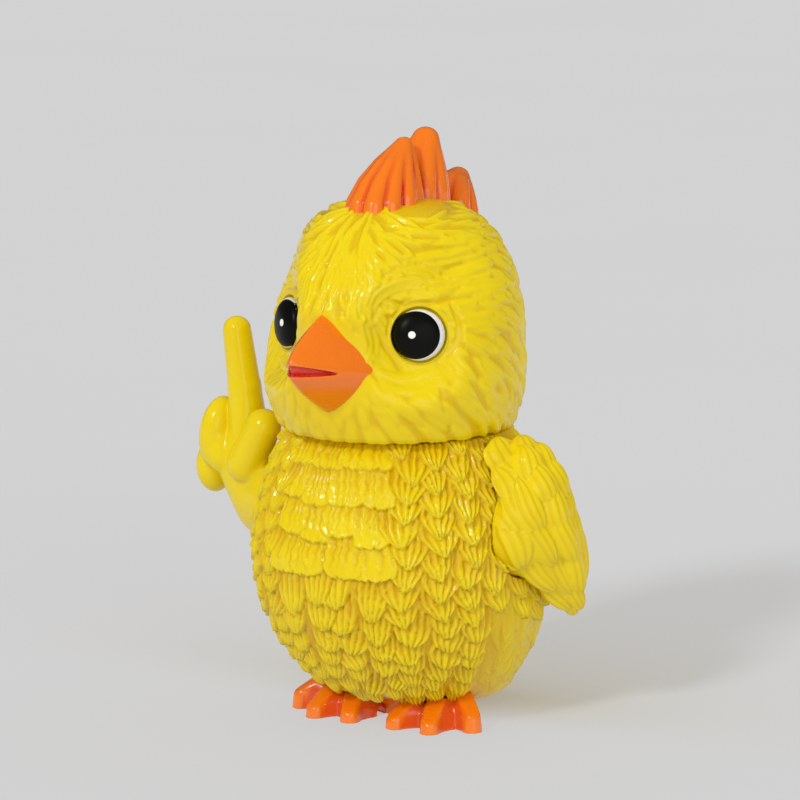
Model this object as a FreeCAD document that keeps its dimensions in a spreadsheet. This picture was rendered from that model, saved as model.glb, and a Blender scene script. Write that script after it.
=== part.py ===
import FreeCAD, Part
import math
import os
import Sketcher
from FreeCAD import Placement, Rotation, Vector

# A hollow moulded chick figure that stands on two orange feet, with a raised right hand.
# Millimetres.  +Z is up, the chick faces -Y and its left side is +X.  The origin lies on the
# bottom face of the sole plate, on the figure's middle plane.

DIMENSIONS = [
    ("wall", 3.0, "wall of the moulded skins"),
    ("joint_gap", 0.3, "space between two skins that turn on each other"),
    ("running_gap", 0.1, "radial clearance of a spool in its hole"),
    ("seat_gap", 0.2, "space between a fixed piece and the skin it sits on"),
    ("belly_radius", 60.0, "largest radius of the torso"),
    ("belly_height", 66.0, "height of the largest radius"),
    ("belly_rise", 87.0, "vertical half axis of the torso above the belly"),
    ("belly_drop", 70.0, "vertical half axis of the torso below the belly"),
    ("rear_lean", 14.0, "how far back the torso's foot lies from its belly"),
    ("neck_height", 121.7, "flat top of the torso"),
    ("head_radius", 51.5, "largest radius of the head"),
    ("head_height", 146.0, "height of the head's largest radius"),
    ("head_forward", 4.0, "how far the head sits in front of the origin"),
    ("crown_rise", 66.0, "from the widest level of the head to the crown"),
    ("chin_drop", 58.0, "vertical half axis of the head below its widest level"),
    ("neck_hole", 15.0, "radius of the neck hole"),
    ("neck_flange", 19.0, "radius of the neck spool's flanges"),
    ("flange_depth", 2.0, "thickness of every spool flange"),
    ("shoulder_height", 85.0, "height of the shoulder axis"),
    ("shoulder_floor", 54.0, "from the middle plane to the floor of the shoulder recess"),
    ("shoulder_recess", 21.0, "radius of the shoulder recess"),
    ("shoulder_hole", 10.0, "radius of the shoulder hole"),
    ("shoulder_flange", 13.5, "radius of the shoulder spools' flanges"),
    ("limb_root", 20.5, "radius of the disc that each limb ends in"),
    ("limb_start", 60.3, "beyond this distance a limb is free of the torso's side"),
    ("limb_dome", 9.0, "height of the dome over a limb's root disc"),
    ("limb_inset", 46.0, "how near the middle plane a limb comes above the torso's shoulder"),
    ("limb_ledge", 16.0, "height of that overlap's floor above the shoulder axis"),
    ("limb_overlap", 34.0, "depth of that overlap from front to back"),
    ("sole_thickness", 5.0, "thickness of the sole plate"),
    ("sole_radius", 17.5, "radius of the sole plate"),
    ("plug_radius", 20.0, "radius of the plug that closes the torso"),
    ("plug_height", 4.0, "height of the plug above the sole plate"),
    ("toe_width", 10.0, "width of a toe"),
    ("toe_root_height", 13.0, "height of a toe at its root"),
    ("toe_tip_height", 8.0, "height of a toe at its tip"),
    ("toe_bevel", 2.6, "bevel along the toe's upper edges"),
    ("toe_rounding", 2.4, "rounding of the toe's front corners"),
    ("heel_side", 20.0, "sideways place of the point where a foot's toes meet"),
    ("heel_back", 8.0, "rearward place of the point where a foot's toes meet"),
    ("heel_radius", 8.0, "radius of the heel"),
    ("peg_radius", 1.5, "radius of the foot's peg"),
    ("peg_reach", 5.0, "how far the peg enters the sole plate"),
    ("eye_side", 29.2, "sideways place of an eye"),
    ("eye_front", 38.8, "forward place of an eye"),
    ("eye_height", 165.9, "height of an eye"),
    ("eye_radius", 11.5, "radius of an eye"),
    ("eye_dome", 4.5, "height of the eye's dome"),
    ("eye_base", 2.0, "thickness of the eye under its dome"),
    ("eye_stem", 3.0, "radius of the eye's stem"),
    ("pupil_radius", 9.9, "radius of the black inlay"),
    ("pupil_offset", 1.2, "shift of the black inlay towards the beak"),
    ("pupil_floor", 1.5, "height of the inlay's floor inside the dome"),
    ("beak_height", 156.0, "height of the beak's middle line"),
    ("beak_stem", 5.0, "radius of the beak's stem"),
    ("beak_root", 46.0, "forward place of the beak's root"),
    ("beak_stem_length", 14.0, "length of the beak's stem"),
    ("slit_root", 62.0, "forward place where the slit begins"),
    ("slit_height", 154.9, "height of the slit between the bills"),
    ("slit_gap", 1.2, "opening of the slit"),
    ("comb_stem", 4.0, "radius of the comb's stems"),
    ("comb_stem_depth", 9.0, "how far the comb's stems reach below the crown"),
    ("comb_stem_length", 12.0, "length of the comb's stems"),
    ("comb_stem_pitch", 18.0, "distance between the comb's two stems"),
    ("washer_depth", 1.5, "thickness of a push-on washer"),
    ("washer_rim", 3.0, "width of a push-on washer's ring"),
    ("squeaker_radius", 12.0, "outer radius of the squeaker cup"),
    ("squeaker_wall", 1.2, "wall of the squeaker's mouldings"),
    ("squeaker_rim", 2.0, "width of the squeaker cup's flange"),
    ("squeaker_height", 12.0, "height of the squeaker cup"),
    ("sound_hole", 2.5, "radius of the squeaker's sound hole"),
    ("reed_length", 23.0, "length of the squeaker's reed"),
    ("reed_width", 5.0, "width of the squeaker's reed"),
    ("reed_thickness", 0.3, "thickness of the squeaker's reed"),
]

# Each comb lobe: forward place and height of its centre, half axes across, front to back and
# lengthwise, and the degrees it leans back.
COMB_LOBES = (
    (13.0, 211.0, (11.5, 15.0, 30.0), 36.0),
    (-14.0, 216.0, (9.0, 13.0, 24.5), 18.0),
    (-33.0, 204.0, (10.0, 14.0, 23.0), 48.0),
)
# Each swelling of a limb: centre, half axes and the degrees it leans outwards about Y.
ARM_SWELLINGS = (
    ((-61.0, 0.0, 86.0), (17.5, 17.0, 18.5), 0.0),
    ((-77.0, -1.0, 100.0), (14.0, 12.0, 17.0), -15.0),
)
WING_SWELLINGS = (
    ((58.5, 0.0, 98.5), (14.5, 22.0, 21.0), -10.0),
    ((64.0, 4.0, 84.0), (15.5, 24.0, 22.0), -12.0),
    ((68.5, 11.0, 67.5), (10.5, 20.0, 20.5), -10.0),
)
FOLDED_FINGERS = (
    ((-88.0, -1.0, 110.0), (7.5, 11.0, 16.0), 8.0),
    ((-91.5, 3.0, 97.0), (7.0, 10.0, 12.5), -10.0),
)
# The thumb leans 37 degrees; a further half turn keeps its surface's seam inside the palm.
THUMB = ((-62.5, -13.5, 104.5), (7.8, 8.0, 17.5), 217.0)
FINGER_FOOT, FINGER_TOP = Vector(-72.5, -3, 108), Vector(-74.8, -3, 152.5)
FINGER_FOOT_RADIUS, FINGER_TOP_RADIUS = 8.2, 6.2
# The bills' upright ellipses: forward place, half height and half width.
BEAK_RINGS = ((46.0, 27.0, 17.5), (61.0, 17.5, 11.0), (74.0, 8.5, 6.0), (83.2, 1.7, 1.3))
SLIT_WIDTH = 40.0      # wider than the beak
EYE_TURN = 37.0        # degrees from straight ahead to the way an eye looks
EYE_TILT = 6.0         # degrees that an eye looks upwards
TOE_LENGTHS = (34.0, 34.0, 31.5)       # inner, middle and outer toe, from the heel's centre
TOE_TURNS = (-17.0, 13.0, 47.0)        # degrees outwards from straight ahead
TORSO_LEVELS = (-0.72, -0.52, -0.27, 0.0, 0.22, 0.43)
HEAD_LEVELS = (-0.2, 0.0, 0.3, 0.55, 0.76, 0.9, 0.97)
CROWN_POWER = 2.9      # makes the crown fuller than an ellipse
CROWN_TOP = 0.993      # share of the crown's rise where its small flat top lies
LEAN_POWER = 1.5       # makes the torso's middle line bend back smoothly
OVERLAP_SLOPE = 0.42   # how fast the space above a shoulder opens towards the middle plane
PAST = 1.0             # how far a tool passes beyond the face it cuts
THROUGH = 30.0         # length of a tool that only has to pass right through
ROOM = 90.0            # reach and radius of a space that holds a whole limb
SEAT_ROOM = 60.0       # height of the torso's copy that shapes the feet
CLIP_GAP = 0.05        # radial clearance of pieces pressed into each other
STEM_LENGTH = 10.0     # length of an eye's stem
ALONG_X, ALONG_Y, ALONG_Z = Vector(1, 0, 0), Vector(0, 1, 0), Vector(0, 0, 1)

doc = FreeCAD.newDocument("chick_figure")
sheet = doc.addObject("Spreadsheet::Sheet", "Dimensions")


class Length:
    """A size with its value and the spreadsheet expression that gives it."""

    def __init__(self, value, text=None):
        self.value = float(value)
        self.text = text if text else f"({self.value:.6f})"

    def joined(self, other, sign, value):
        return Length(value, f"({self.text} {sign} {other.text})")

    def __add__(self, other):
        other = length(other)
        return self.joined(other, "+", self.value + other.value)

    def __sub__(self, other):
        other = length(other)
        return self.joined(other, "-", self.value - other.value)

    def __mul__(self, other):
        other = length(other)
        return self.joined(other, "*", self.value * other.value)

    def __truediv__(self, other):
        other = length(other)
        return self.joined(other, "/", self.value / other.value)

    def __neg__(self):
        return Length(-self.value, f"(0 - {self.text})")

    def __radd__(self, other):
        return length(other) + self

    def __rsub__(self, other):
        return length(other) - self

    def __rmul__(self, other):
        return length(other) * self


def length(size):
    return size if isinstance(size, Length) else Length(size)


def power(base, exponent):
    """A length's ratio raised to a power."""
    return Length(base.value ** exponent, f"({base.text} ^ {exponent})")


size = {}
for row, (alias, value, meaning) in enumerate(DIMENSIONS, start=1):
    sheet.set(f"A{row}", meaning)
    sheet.set(f"B{row}", str(value))
    sheet.setAlias(f"B{row}", alias)
    size[alias] = Length(value, f"Dimensions.{alias}")
doc.recompute()


# ---- small building blocks ---------------------------------------------------------------

def bind(item, **sizes):
    """Tie an object's sizes to the sheet."""
    for prop, amount in sizes.items():
        item.setExpression(prop, length(amount).text)


def place(item, point, rotation=None):
    """Put an object at a point whose coordinates follow the sheet."""
    point = [length(part) for part in point]
    turn = rotation if rotation else Rotation()
    item.Placement = Placement(Vector(*[part.value for part in point]), turn)
    for axis, part in zip("xyz", point):
        item.setExpression(f"Placement.Base.{axis}", part.text)


def along(point, direction, distance):
    """The point at a distance from another along a direction."""
    parts = (direction.x, direction.y, direction.z)
    return [length(start) + length(distance) * part for start, part in zip(point, parts)]


def cylinder(name, point, direction, start, reach, radius):
    """A cylinder that begins at `start` along a direction and is `reach` long."""
    item = doc.addObject("Part::Cylinder", name)
    bind(item, Radius=radius, Height=reach)
    place(item, along(point, direction, start), Rotation(ALONG_Z, direction))
    return item


def box(name, corner, spans):
    item = doc.addObject("Part::Box", name)
    bind(item, Length=spans[0], Width=spans[1], Height=spans[2])
    place(item, corner)
    return item


def ellipsoid(name, centre, radii, rotation=None):
    item = doc.addObject("Part::Ellipsoid", name)
    bind(item, Radius2=radii[0], Radius3=radii[1], Radius1=radii[2])
    item.Angle3 = 360
    place(item, centre, rotation)
    return item


def fuse(name, *shapes):
    item = doc.addObject("Part::MultiFuse", name)
    item.Shapes = list(shapes)
    return item


def common(name, first, second):
    item = doc.addObject("Part::Common", name)
    item.Base, item.Tool = first, second
    return item


def cut(name, base, *tools):
    """Cut each tool from the base, in turn."""
    for number, tool in enumerate(tools, start=1):
        item = doc.addObject("Part::Cut", name if number == len(tools) else f"{name}_cut_{number}")
        item.Base, item.Tool = base, tool
        base = item
    return base


def origin_plane(body, role):
    return next(part for part in body.Origin.OriginFeatures if part.Role == role)


def sketch_on(body, role, name, shift_up=0.0, shift_out=0.0):
    """A sketch on one of a body's origin planes, moved within and off that plane."""
    sketch = body.newObject("Sketcher::SketchObject", name)
    sketch.AttachmentSupport = [(origin_plane(body, role), "")]
    sketch.MapMode = "FlatFace"
    shift_up, shift_out = length(shift_up), length(shift_out)
    sketch.AttachmentOffset = Placement(Vector(0, shift_up.value, shift_out.value), Rotation())
    sketch.setExpression("AttachmentOffset.Base.y", shift_up.text)
    sketch.setExpression("AttachmentOffset.Base.z", shift_out.text)
    return sketch


# ---- the two moulded eggs ----------------------------------------------------------------

def circle_loft(name, stations):
    """A body lofted through level circles, each given as height, radius and rearward shift."""
    body = doc.addObject("PartDesign::Body", name)
    rings = []
    for number, (height, radius, back) in enumerate(stations):
        sketch = sketch_on(body, "XY_Plane", f"{name}_ring_{number}", back, height)
        sketch.addGeometry(Part.Circle(Vector(), ALONG_Z, radius.value), False)
        sketch.addConstraint([
            Sketcher.Constraint("Coincident", 0, 3, -1, 1),
            Sketcher.Constraint("Radius", 0, radius.value),
        ])
        sketch.setExpression("Constraints[1]", radius.text)
        rings.append(sketch)
    loft = body.newObject("PartDesign::AdditiveLoft", f"{name}_loft")
    loft.Profile = rings[0]
    loft.Sections = rings[1:]
    body.Tip = loft
    return body


def torso_body(name, growth, bottom, top):
    """The torso's egg, grown by a distance, between two heights."""
    radius = size["belly_radius"] + growth
    rise, drop = size["belly_rise"] + growth, size["belly_drop"] + growth
    middle = size["belly_height"]
    heights = [bottom]
    heights += [middle + (rise if level > 0 else drop) * level for level in TORSO_LEVELS]
    heights += [top]
    stations = []
    for height in heights:
        height = length(height)
        above = height.value > middle.value
        share = (height - middle) / (rise if above else drop)
        width = radius * power(1 - share * share, 0.5)
        lower = height.value < middle.value
        back = size["rear_lean"] * power((middle - height) / size["belly_height"], LEAN_POWER) \
            if lower else length(0.0)
        stations.append((height, width, back))
    return circle_loft(name, stations)


def head_body(name, growth, bottom):
    """The head's egg, grown by a distance, from a flat bottom to the crown."""
    radius = size["head_radius"] + growth
    rise, drop = size["crown_rise"] + growth, size["chin_drop"] + growth
    middle = size["head_height"]
    heights = [length(bottom)]
    heights += [middle + (rise if level > 0 else drop) * level for level in HEAD_LEVELS]
    heights += [middle + rise * CROWN_TOP]
    stations = []
    for height in heights:
        if height.value > middle.value:
            share = (height - middle) / rise
            width = radius * power(1 - power(share, CROWN_POWER), 1 / CROWN_POWER)
        else:
            share = (height - middle) / drop
            width = radius * power(1 - share * share, 0.5)
        stations.append((height, width, -size["head_forward"]))
    return circle_loft(name, stations)


# ---- torso -------------------------------------------------------------------------------

def shoulder(side):
    """The point on the middle plane and the outward direction of a shoulder's axis."""
    return (0.0, 0.0, size["shoulder_height"]), ALONG_X * side


def neck_point():
    return 0.0, -size["head_forward"], 0.0


def make_torso():
    """The hollow torso, open below, with a neck hole and two shoulder recesses."""
    wall = size["wall"]
    outer = torso_body("torso_outer", 0.0, size["sole_thickness"], size["neck_height"])
    core = torso_body("torso_core", -wall, size["sole_thickness"] - PAST, size["neck_height"] - wall)
    tools = []
    cups = []
    for word, side in (("left", 1), ("right", -1)):
        point, outward = shoulder(side)
        floor = size["shoulder_floor"]
        cups.append(cylinder(f"{word}_cup", point, outward, floor - wall, THROUGH,
                             size["shoulder_recess"] + wall))
        tools.append(cylinder(f"{word}_recess", point, outward, floor, THROUGH,
                              size["shoulder_recess"]))
        tools.append(cylinder(f"{word}_shoulder_hole", point, outward, floor - 2 * wall, THROUGH,
                              size["shoulder_hole"]))
    tools.append(cylinder("torso_neck_hole", neck_point(), ALONG_Z,
                          size["neck_height"] - 2 * wall, THROUGH, size["neck_hole"]))
    tools.append(cylinder("torso_mouth", sole_point(), ALONG_Z, 0.0,
                          size["sole_thickness"] + size["plug_height"] + 2 * wall,
                          size["plug_radius"] + size["seat_gap"]))
    hollow = cut("torso_hollow", core, *cups)
    cut("torso_shell", outer, hollow, *tools)


# ---- sole plate, feet and squeaker -------------------------------------------------------

def sole_point():
    return 0.0, size["rear_lean"], 0.0


def peg(name, side, radius):
    """The short peg between a heel and the sole plate, or its hole."""
    point = (0.0, size["rear_lean"], size["sole_thickness"] / 2)
    start = size["sole_radius"] - size["peg_reach"]
    return cylinder(name, point, ALONG_X * side, start, size["peg_reach"] + size["heel_radius"] / 2,
                    radius)


def make_sole_plate():
    """The disc between the feet, whose plug closes the torso and holds the squeaker."""
    plate = cylinder("sole_disc", sole_point(), ALONG_Z, 0.0, size["sole_thickness"],
                     size["sole_radius"])
    plug = cylinder("sole_plug", sole_point(), ALONG_Z, size["sole_thickness"],
                    size["plug_height"], size["plug_radius"])
    blank = fuse("sole_blank", plate, plug)
    holes = [cylinder("squeaker_hole", sole_point(), ALONG_Z, -PAST, THROUGH,
                      size["squeaker_radius"] + size["seat_gap"])]
    holes += [peg(f"{word}_peg_hole", side, size["peg_radius"] + size["running_gap"])
              for word, side in (("left", 1), ("right", -1))]
    cut("sole_plate", blank, *holes)


def make_toe(name, reach):
    """A blunt toe along +X with a sloping back, bevelled upper edges and a rounded end."""
    root, tip = size["toe_root_height"], size["toe_tip_height"]
    body = doc.addObject("PartDesign::Body", name)
    sketch = sketch_on(body, "XZ_Plane", f"{name}_side")
    corners = [(0.0, 0.0), (reach, 0.0), (reach, tip.value), (0.0, root.value)]
    for first, second in zip(corners, corners[1:] + corners[:1]):
        sketch.addGeometry(Part.LineSegment(Vector(*first, 0), Vector(*second, 0)), False)
    sketch.addConstraint([Sketcher.Constraint("Coincident", edge, 2, (edge + 1) % 4, 1)
                          for edge in range(4)])
    sketch.addConstraint([
        Sketcher.Constraint("Coincident", 0, 1, -1, 1),
        Sketcher.Constraint("Horizontal", 0),
        Sketcher.Constraint("Vertical", 1),
        Sketcher.Constraint("Vertical", 3),
        Sketcher.Constraint("DistanceX", 0, 1, 0, 2, reach),
        Sketcher.Constraint("DistanceY", 1, 1, 1, 2, tip.value),
        Sketcher.Constraint("DistanceY", 3, 2, 3, 1, root.value),
    ])
    sketch.setExpression("Constraints[9]", tip.text)
    sketch.setExpression("Constraints[10]", root.text)
    pad = body.newObject("PartDesign::Pad", f"{name}_pad")
    pad.Profile = sketch
    pad.Midplane = True
    pad.setExpression("Length", size["toe_width"].text)
    doc.recompute()
    bevel = body.newObject("PartDesign::Chamfer", f"{name}_bevel")
    bevel.Base = (pad, [f"Edge{number}" for number, edge in enumerate(pad.Shape.Edges, start=1)
                        if edge.BoundBox.ZMin > tip.value - 0.1 and edge.BoundBox.XMax > 1])
    bevel.setExpression("Size", size["toe_bevel"].text)
    doc.recompute()
    rounding = body.newObject("PartDesign::Fillet", f"{name}_rounding")
    rounding.Base = (bevel, [
        f"Edge{number}" for number, edge in enumerate(bevel.Shape.Edges, start=1)
        if edge.BoundBox.XMin > reach - 0.1 and edge.BoundBox.ZMin < 0.1
        and edge.BoundBox.ZLength > 1])
    rounding.setExpression("Radius", size["toe_rounding"].text)
    body.Tip = rounding
    return body


def make_foot(word, side, torso_seat):
    """Three toes on a heel, shaped to the torso above them and pegged into the sole plate."""
    heel_point = (size["heel_side"] * side, size["heel_back"], 0.0)
    pieces = [cylinder(f"{word}_heel", heel_point, ALONG_Z, 0.0, size["toe_root_height"],
                       size["heel_radius"]),
              peg(f"{word}_peg", side, size["peg_radius"])]
    for number, (reach, turn) in enumerate(zip(TOE_LENGTHS, TOE_TURNS), start=1):
        toe = make_toe(f"{word}_toe_{number}", reach)
        place(toe, heel_point, Rotation(ALONG_Z, -90 + turn * side))
        pieces.append(toe)
    blank = fuse(f"{word}_foot_blank", *pieces)
    sole_room = cylinder(f"{word}_sole_room", sole_point(), ALONG_Z, -PAST, THROUGH,
                         size["sole_radius"] + size["seat_gap"])
    stub = cut(f"{word}_peg_stub", peg(f"{word}_peg_copy", side, size["peg_radius"]),
               cylinder(f"{word}_heel_room", (0.0, 0.0, 0.0), ALONG_X * side,
                        size["sole_radius"] + size["peg_radius"], THROUGH, THROUGH))
    under_torso = cut(f"{word}_foot_body", blank, sole_room, torso_seat)
    fuse(f"{word}_foot", under_torso, stub)


def make_squeaker():
    """A cup with a sound hole, a brass reed across its mouth and a cap that clips over it."""
    point, wall = sole_point(), size["squeaker_wall"]
    radius, height = size["squeaker_radius"], size["squeaker_height"]
    rest = size["sole_thickness"] + size["plug_height"] + size["seat_gap"]
    base = size["squeaker_rim"] / 2
    tube = cylinder("cup_tube", point, ALONG_Z, base, height, radius)
    flange = cylinder("cup_flange", point, ALONG_Z, rest, wall, radius + size["squeaker_rim"])
    room = cylinder("cup_room", point, ALONG_Z, base + wall, height, radius - wall)
    vent = cylinder("cup_vent", point, ALONG_Z, 0.0, base + 2 * wall, size["sound_hole"])
    cut("squeaker_cup", fuse("cup_blank", tube, flange), room, vent)
    mouth = base + height
    box_corner = (-size["reed_length"] / 2, size["rear_lean"] - size["reed_width"] / 2, mouth)
    box("squeaker_reed", box_corner,
        (size["reed_length"], size["reed_width"], size["reed_thickness"]))
    lid_level = mouth + size["reed_thickness"]
    lid = cylinder("cap_lid", point, ALONG_Z, rest + 2 * wall, lid_level - rest - wall,
                   radius + wall + CLIP_GAP)
    bore = cylinder("cap_bore", point, ALONG_Z, rest, lid_level - rest, radius + CLIP_GAP)
    inlet = cylinder("cap_inlet", point, ALONG_Z, rest, THROUGH, size["sound_hole"])
    cut("squeaker_cap", lid, bore, inlet)


# ---- head --------------------------------------------------------------------------------

def eye_axis(side):
    """The centre of an eye's base and the direction it looks."""
    turn, tilt = math.radians(EYE_TURN), math.radians(EYE_TILT)
    outward = Vector(side * math.sin(turn) * math.cos(tilt), -math.cos(turn) * math.cos(tilt),
                     math.sin(tilt))
    return (size["eye_side"] * side, -size["eye_front"], size["eye_height"]), outward


def beak_point():
    return 0.0, 0.0, size["beak_height"]


def comb_stem_points():
    return [(0.0, size["comb_stem_pitch"] * half - size["head_forward"], 0.0)
            for half in (-0.5, 0.5)]


def make_head():
    """The hollow head with its neck hole, eye sockets and the holes for beak and comb."""
    wall, gap = size["wall"], size["seat_gap"]
    chin = size["neck_height"] + size["joint_gap"]
    outer = head_body("head_outer", 0.0, chin)
    core = head_body("head_core", -wall, chin + wall)
    cups, tools = [], []
    for word, side in (("left", 1), ("right", -1)):
        point, outward = eye_axis(side)
        floor = -size["eye_base"] - gap
        cups.append(cylinder(f"{word}_eye_cup", point, outward, floor - wall, THROUGH,
                             size["eye_radius"] + wall))
        tools.append(cylinder(f"{word}_socket", point, outward, floor, THROUGH,
                              size["eye_radius"] + gap))
        tools.append(cylinder(f"{word}_stem_hole", point, outward, floor - 2 * wall, THROUGH,
                              size["eye_stem"] + gap))
    tools.append(cylinder("head_neck_hole", neck_point(), ALONG_Z, chin - PAST, 2 * wall,
                          size["neck_hole"]))
    tools.append(cylinder("beak_stem_hole", beak_point(), -ALONG_Y, size["beak_root"] - 2 * wall,
                          THROUGH, size["beak_stem"] + gap))
    crown = size["head_height"] + size["crown_rise"]
    for number, point in enumerate(comb_stem_points(), start=1):
        tools.append(cylinder(f"comb_stem_hole_{number}", point, ALONG_Z,
                              crown - size["comb_stem_depth"] - PAST, THROUGH,
                              size["comb_stem"] + gap))
    hollow = cut("head_hollow", core, *cups)
    cut("head_shell", outer, hollow, *tools)


def make_eye(word, side):
    """A white domed button on a stem, with a black inlay set towards the beak."""
    point, outward = eye_axis(side)
    radius, facing = size["eye_radius"], Rotation(ALONG_Z, outward)
    dome = ellipsoid(f"{word}_eye_dome", point, (radius, radius, size["eye_dome"]), facing)
    front_half = cylinder(f"{word}_eye_front", point, outward, 0.0, THROUGH, radius + PAST)
    base = cylinder(f"{word}_eye_disc", point, outward, -size["eye_base"], size["eye_base"], radius)
    stem = cylinder(f"{word}_eye_stem", point, outward, -size["eye_base"] - STEM_LENGTH,
                    STEM_LENGTH, size["eye_stem"])
    cap = common(f"{word}_eye_cap", dome, front_half)
    blank = fuse(f"{word}_eye_blank", cap, base, stem)
    towards_beak = Vector(-side * math.cos(math.radians(EYE_TURN)),
                          -math.sin(math.radians(EYE_TURN)), 0)
    pupil_point = along(point, towards_beak, size["pupil_offset"])
    pocket = cylinder(f"{word}_pupil_pocket", pupil_point, outward, size["pupil_floor"], THROUGH,
                      size["pupil_radius"] + CLIP_GAP)
    cut(f"{word}_eye", blank, pocket)
    core = cylinder(f"{word}_pupil_core", pupil_point, outward, size["pupil_floor"] + CLIP_GAP,
                    THROUGH, size["pupil_radius"])
    dome_again = ellipsoid(f"{word}_pupil_dome", point, (radius, radius, size["eye_dome"]), facing)
    common(f"{word}_pupil", dome_again, core)


def make_beak(head_seat):
    """Both bills as one moulding, lofted through upright ellipses and slit from its tip."""
    upright = Rotation(ALONG_Z, ALONG_X, ALONG_Y, "XYZ")
    rings = []
    for number, (front, half_height, half_width) in enumerate(BEAK_RINGS, start=1):
        ring = doc.addObject("Part::Ellipse", f"beak_ring_{number}")
        bind(ring, MajorRadius=half_height, MinorRadius=half_width)
        place(ring, (0.0, -front, size["beak_height"]), upright)
        rings.append(ring)
    bills = doc.addObject("Part::Loft", "beak_bills")
    bills.Sections = rings
    bills.Solid = True
    slit_corner = (-SLIT_WIDTH / 2, -size["slit_root"] - THROUGH,
                   size["slit_height"] - size["slit_gap"] / 2)
    slit = box("beak_slit", slit_corner, (SLIT_WIDTH, THROUGH, size["slit_gap"]))
    stem = cylinder("beak_stem", beak_point(), -ALONG_Y, size["beak_root"],
                    size["beak_stem_length"], size["beak_stem"])
    fuse("beak", cut("beak_front", bills, head_seat, slit), stem)


def make_comb(head_seat):
    """Three flame-shaped lobes that lean back over the crown, on two stems."""
    lobes = [ellipsoid(f"comb_lobe_{number}", (0.0, -front, height), radii,
                       Rotation(ALONG_X, -lean))
             for number, (front, height, radii, lean) in enumerate(COMB_LOBES, start=1)]
    lobed = cut("comb_lobes", fuse("comb_blank", *lobes), head_seat)
    crown = size["head_height"] + size["crown_rise"]
    stems = [cylinder(f"comb_stem_{number}", point, ALONG_Z, crown - size["comb_stem_depth"],
                      size["comb_stem_length"], size["comb_stem"])
             for number, point in enumerate(comb_stem_points(), start=1)]
    fuse("comb", lobed, *stems)


def make_washers():
    """Push-on rings that hold the eye, beak and comb stems from inside the head."""
    places = []
    for side in (1, -1):
        point, outward = eye_axis(side)
        depth = size["eye_base"] + size["wall"] + size["seat_gap"] * 2 + size["washer_depth"]
        places.append((point, outward, -depth, size["eye_stem"]))
    beak_wall = size["head_radius"] + size["head_forward"] - size["wall"]
    places.append((beak_point(), -ALONG_Y, beak_wall - 2 * size["washer_depth"],
                   size["beak_stem"]))
    crown_wall = size["head_height"] + size["crown_rise"] - size["wall"]
    for point in comb_stem_points():
        places.append((point, ALONG_Z, crown_wall - size["washer_depth"] * 2 - PAST,
                       size["comb_stem"]))
    rings = []
    for number, (point, outward, start, stem) in enumerate(places, start=1):
        disc = cylinder(f"washer_disc_{number}", point, outward, start, size["washer_depth"],
                        stem + size["washer_rim"])
        hole = cylinder(f"washer_hole_{number}", point, outward, start - PAST, THROUGH,
                        stem + CLIP_GAP)
        rings.append(cut(f"washer_{number}", disc, hole))
    group = doc.addObject("Part::Compound", "push_on_washers")
    group.Links = rings


def make_spool(name, point, outward, inner_wall, outer_wall, hole, flange):
    """A spool through two walls that turn on each other, with a flange beyond each of them."""
    gap, depth, wall = size["joint_gap"], size["flange_depth"], size["wall"]
    start = inner_wall - wall - gap - depth
    end = outer_wall + wall + gap + depth
    fuse(name,
         cylinder(f"{name}_shaft", point, outward, start, end - start, hole - size["running_gap"]),
         cylinder(f"{name}_inner", point, outward, start, depth, flange),
         cylinder(f"{name}_outer", point, outward, end - depth, depth, flange))


# ---- limbs -------------------------------------------------------------------------------

def swellings(name, shapes, less=0.0):
    """Ellipsoids for a limb's swellings, each made smaller by a distance."""
    return [ellipsoid(f"{name}_{number}", centre, [half - length(less) for half in radii],
                      Rotation(ALONG_Y, lean))
            for number, (centre, radii, lean) in enumerate(shapes, start=1)]


def top_room(name, side):
    """The space above a shoulder that a limb can fill and still clear the torso as it swings."""
    inner, free = size["limb_inset"], size["limb_start"] + size["joint_gap"]
    low = size["shoulder_height"] + size["limb_ledge"]
    high = size["neck_height"] - 2 * size["joint_gap"]
    depth = size["limb_overlap"]
    corner_x = inner if side > 0 else -free
    block = box(f"{name}_top_block", (corner_x, -depth / 2, low),
                (free - inner, depth, high - low))
    point, outward = shoulder(side)
    rim = size["shoulder_floor"] + size["wall"] / 2
    cone = doc.addObject("Part::Cone", f"{name}_top_cone")
    bind(cone, Radius1=size["limb_root"] + (rim - inner) / OVERLAP_SLOPE,
         Radius2=size["limb_root"], Height=rim - inner)
    place(cone, along(point, outward, inner), Rotation(ALONG_Z, outward))
    return cut(f"{name}_top_room", block, cone)


def limb(name, side, shapes, details):
    """A hollow limb: swellings beyond the torso's side, a root disc and solid details."""
    point, outward = shoulder(side)
    root, free = size["shoulder_floor"] + size["joint_gap"], size["limb_start"]
    radius, wall = size["limb_root"], size["wall"]
    dome = ellipsoid(f"{name}_dome", along(point, outward, free),
                     (size["limb_dome"], radius, radius))
    blank = fuse(f"{name}_blank", dome, *swellings(f"{name}_swelling", shapes))
    side_room = cylinder(f"{name}_side_room", point, outward, free, ROOM, ROOM)
    skin = common(f"{name}_skin", blank, fuse(f"{name}_room", side_room, top_room(name, side)))
    disc = cylinder(f"{name}_disc", point, outward, root, free - root + PAST, radius)
    outer = fuse(f"{name}_outer", skin, disc, *details)
    flange_room = cylinder(f"{name}_flange_room", point, outward, root + wall,
                           free - root + PAST, size["shoulder_flange"] + PAST)
    cores = fuse(f"{name}_cores", *swellings(f"{name}_core", shapes, wall))
    core_room = cylinder(f"{name}_core_room", point, outward, free + wall, ROOM, ROOM)
    hollow = common(f"{name}_hollow", cores, core_room)
    hole = cylinder(f"{name}_hole", point, outward, root - PAST, 3 * wall - PAST,
                    size["shoulder_hole"])
    cut(name, outer, fuse(f"{name}_inside", flange_room, hollow), hole)


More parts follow.
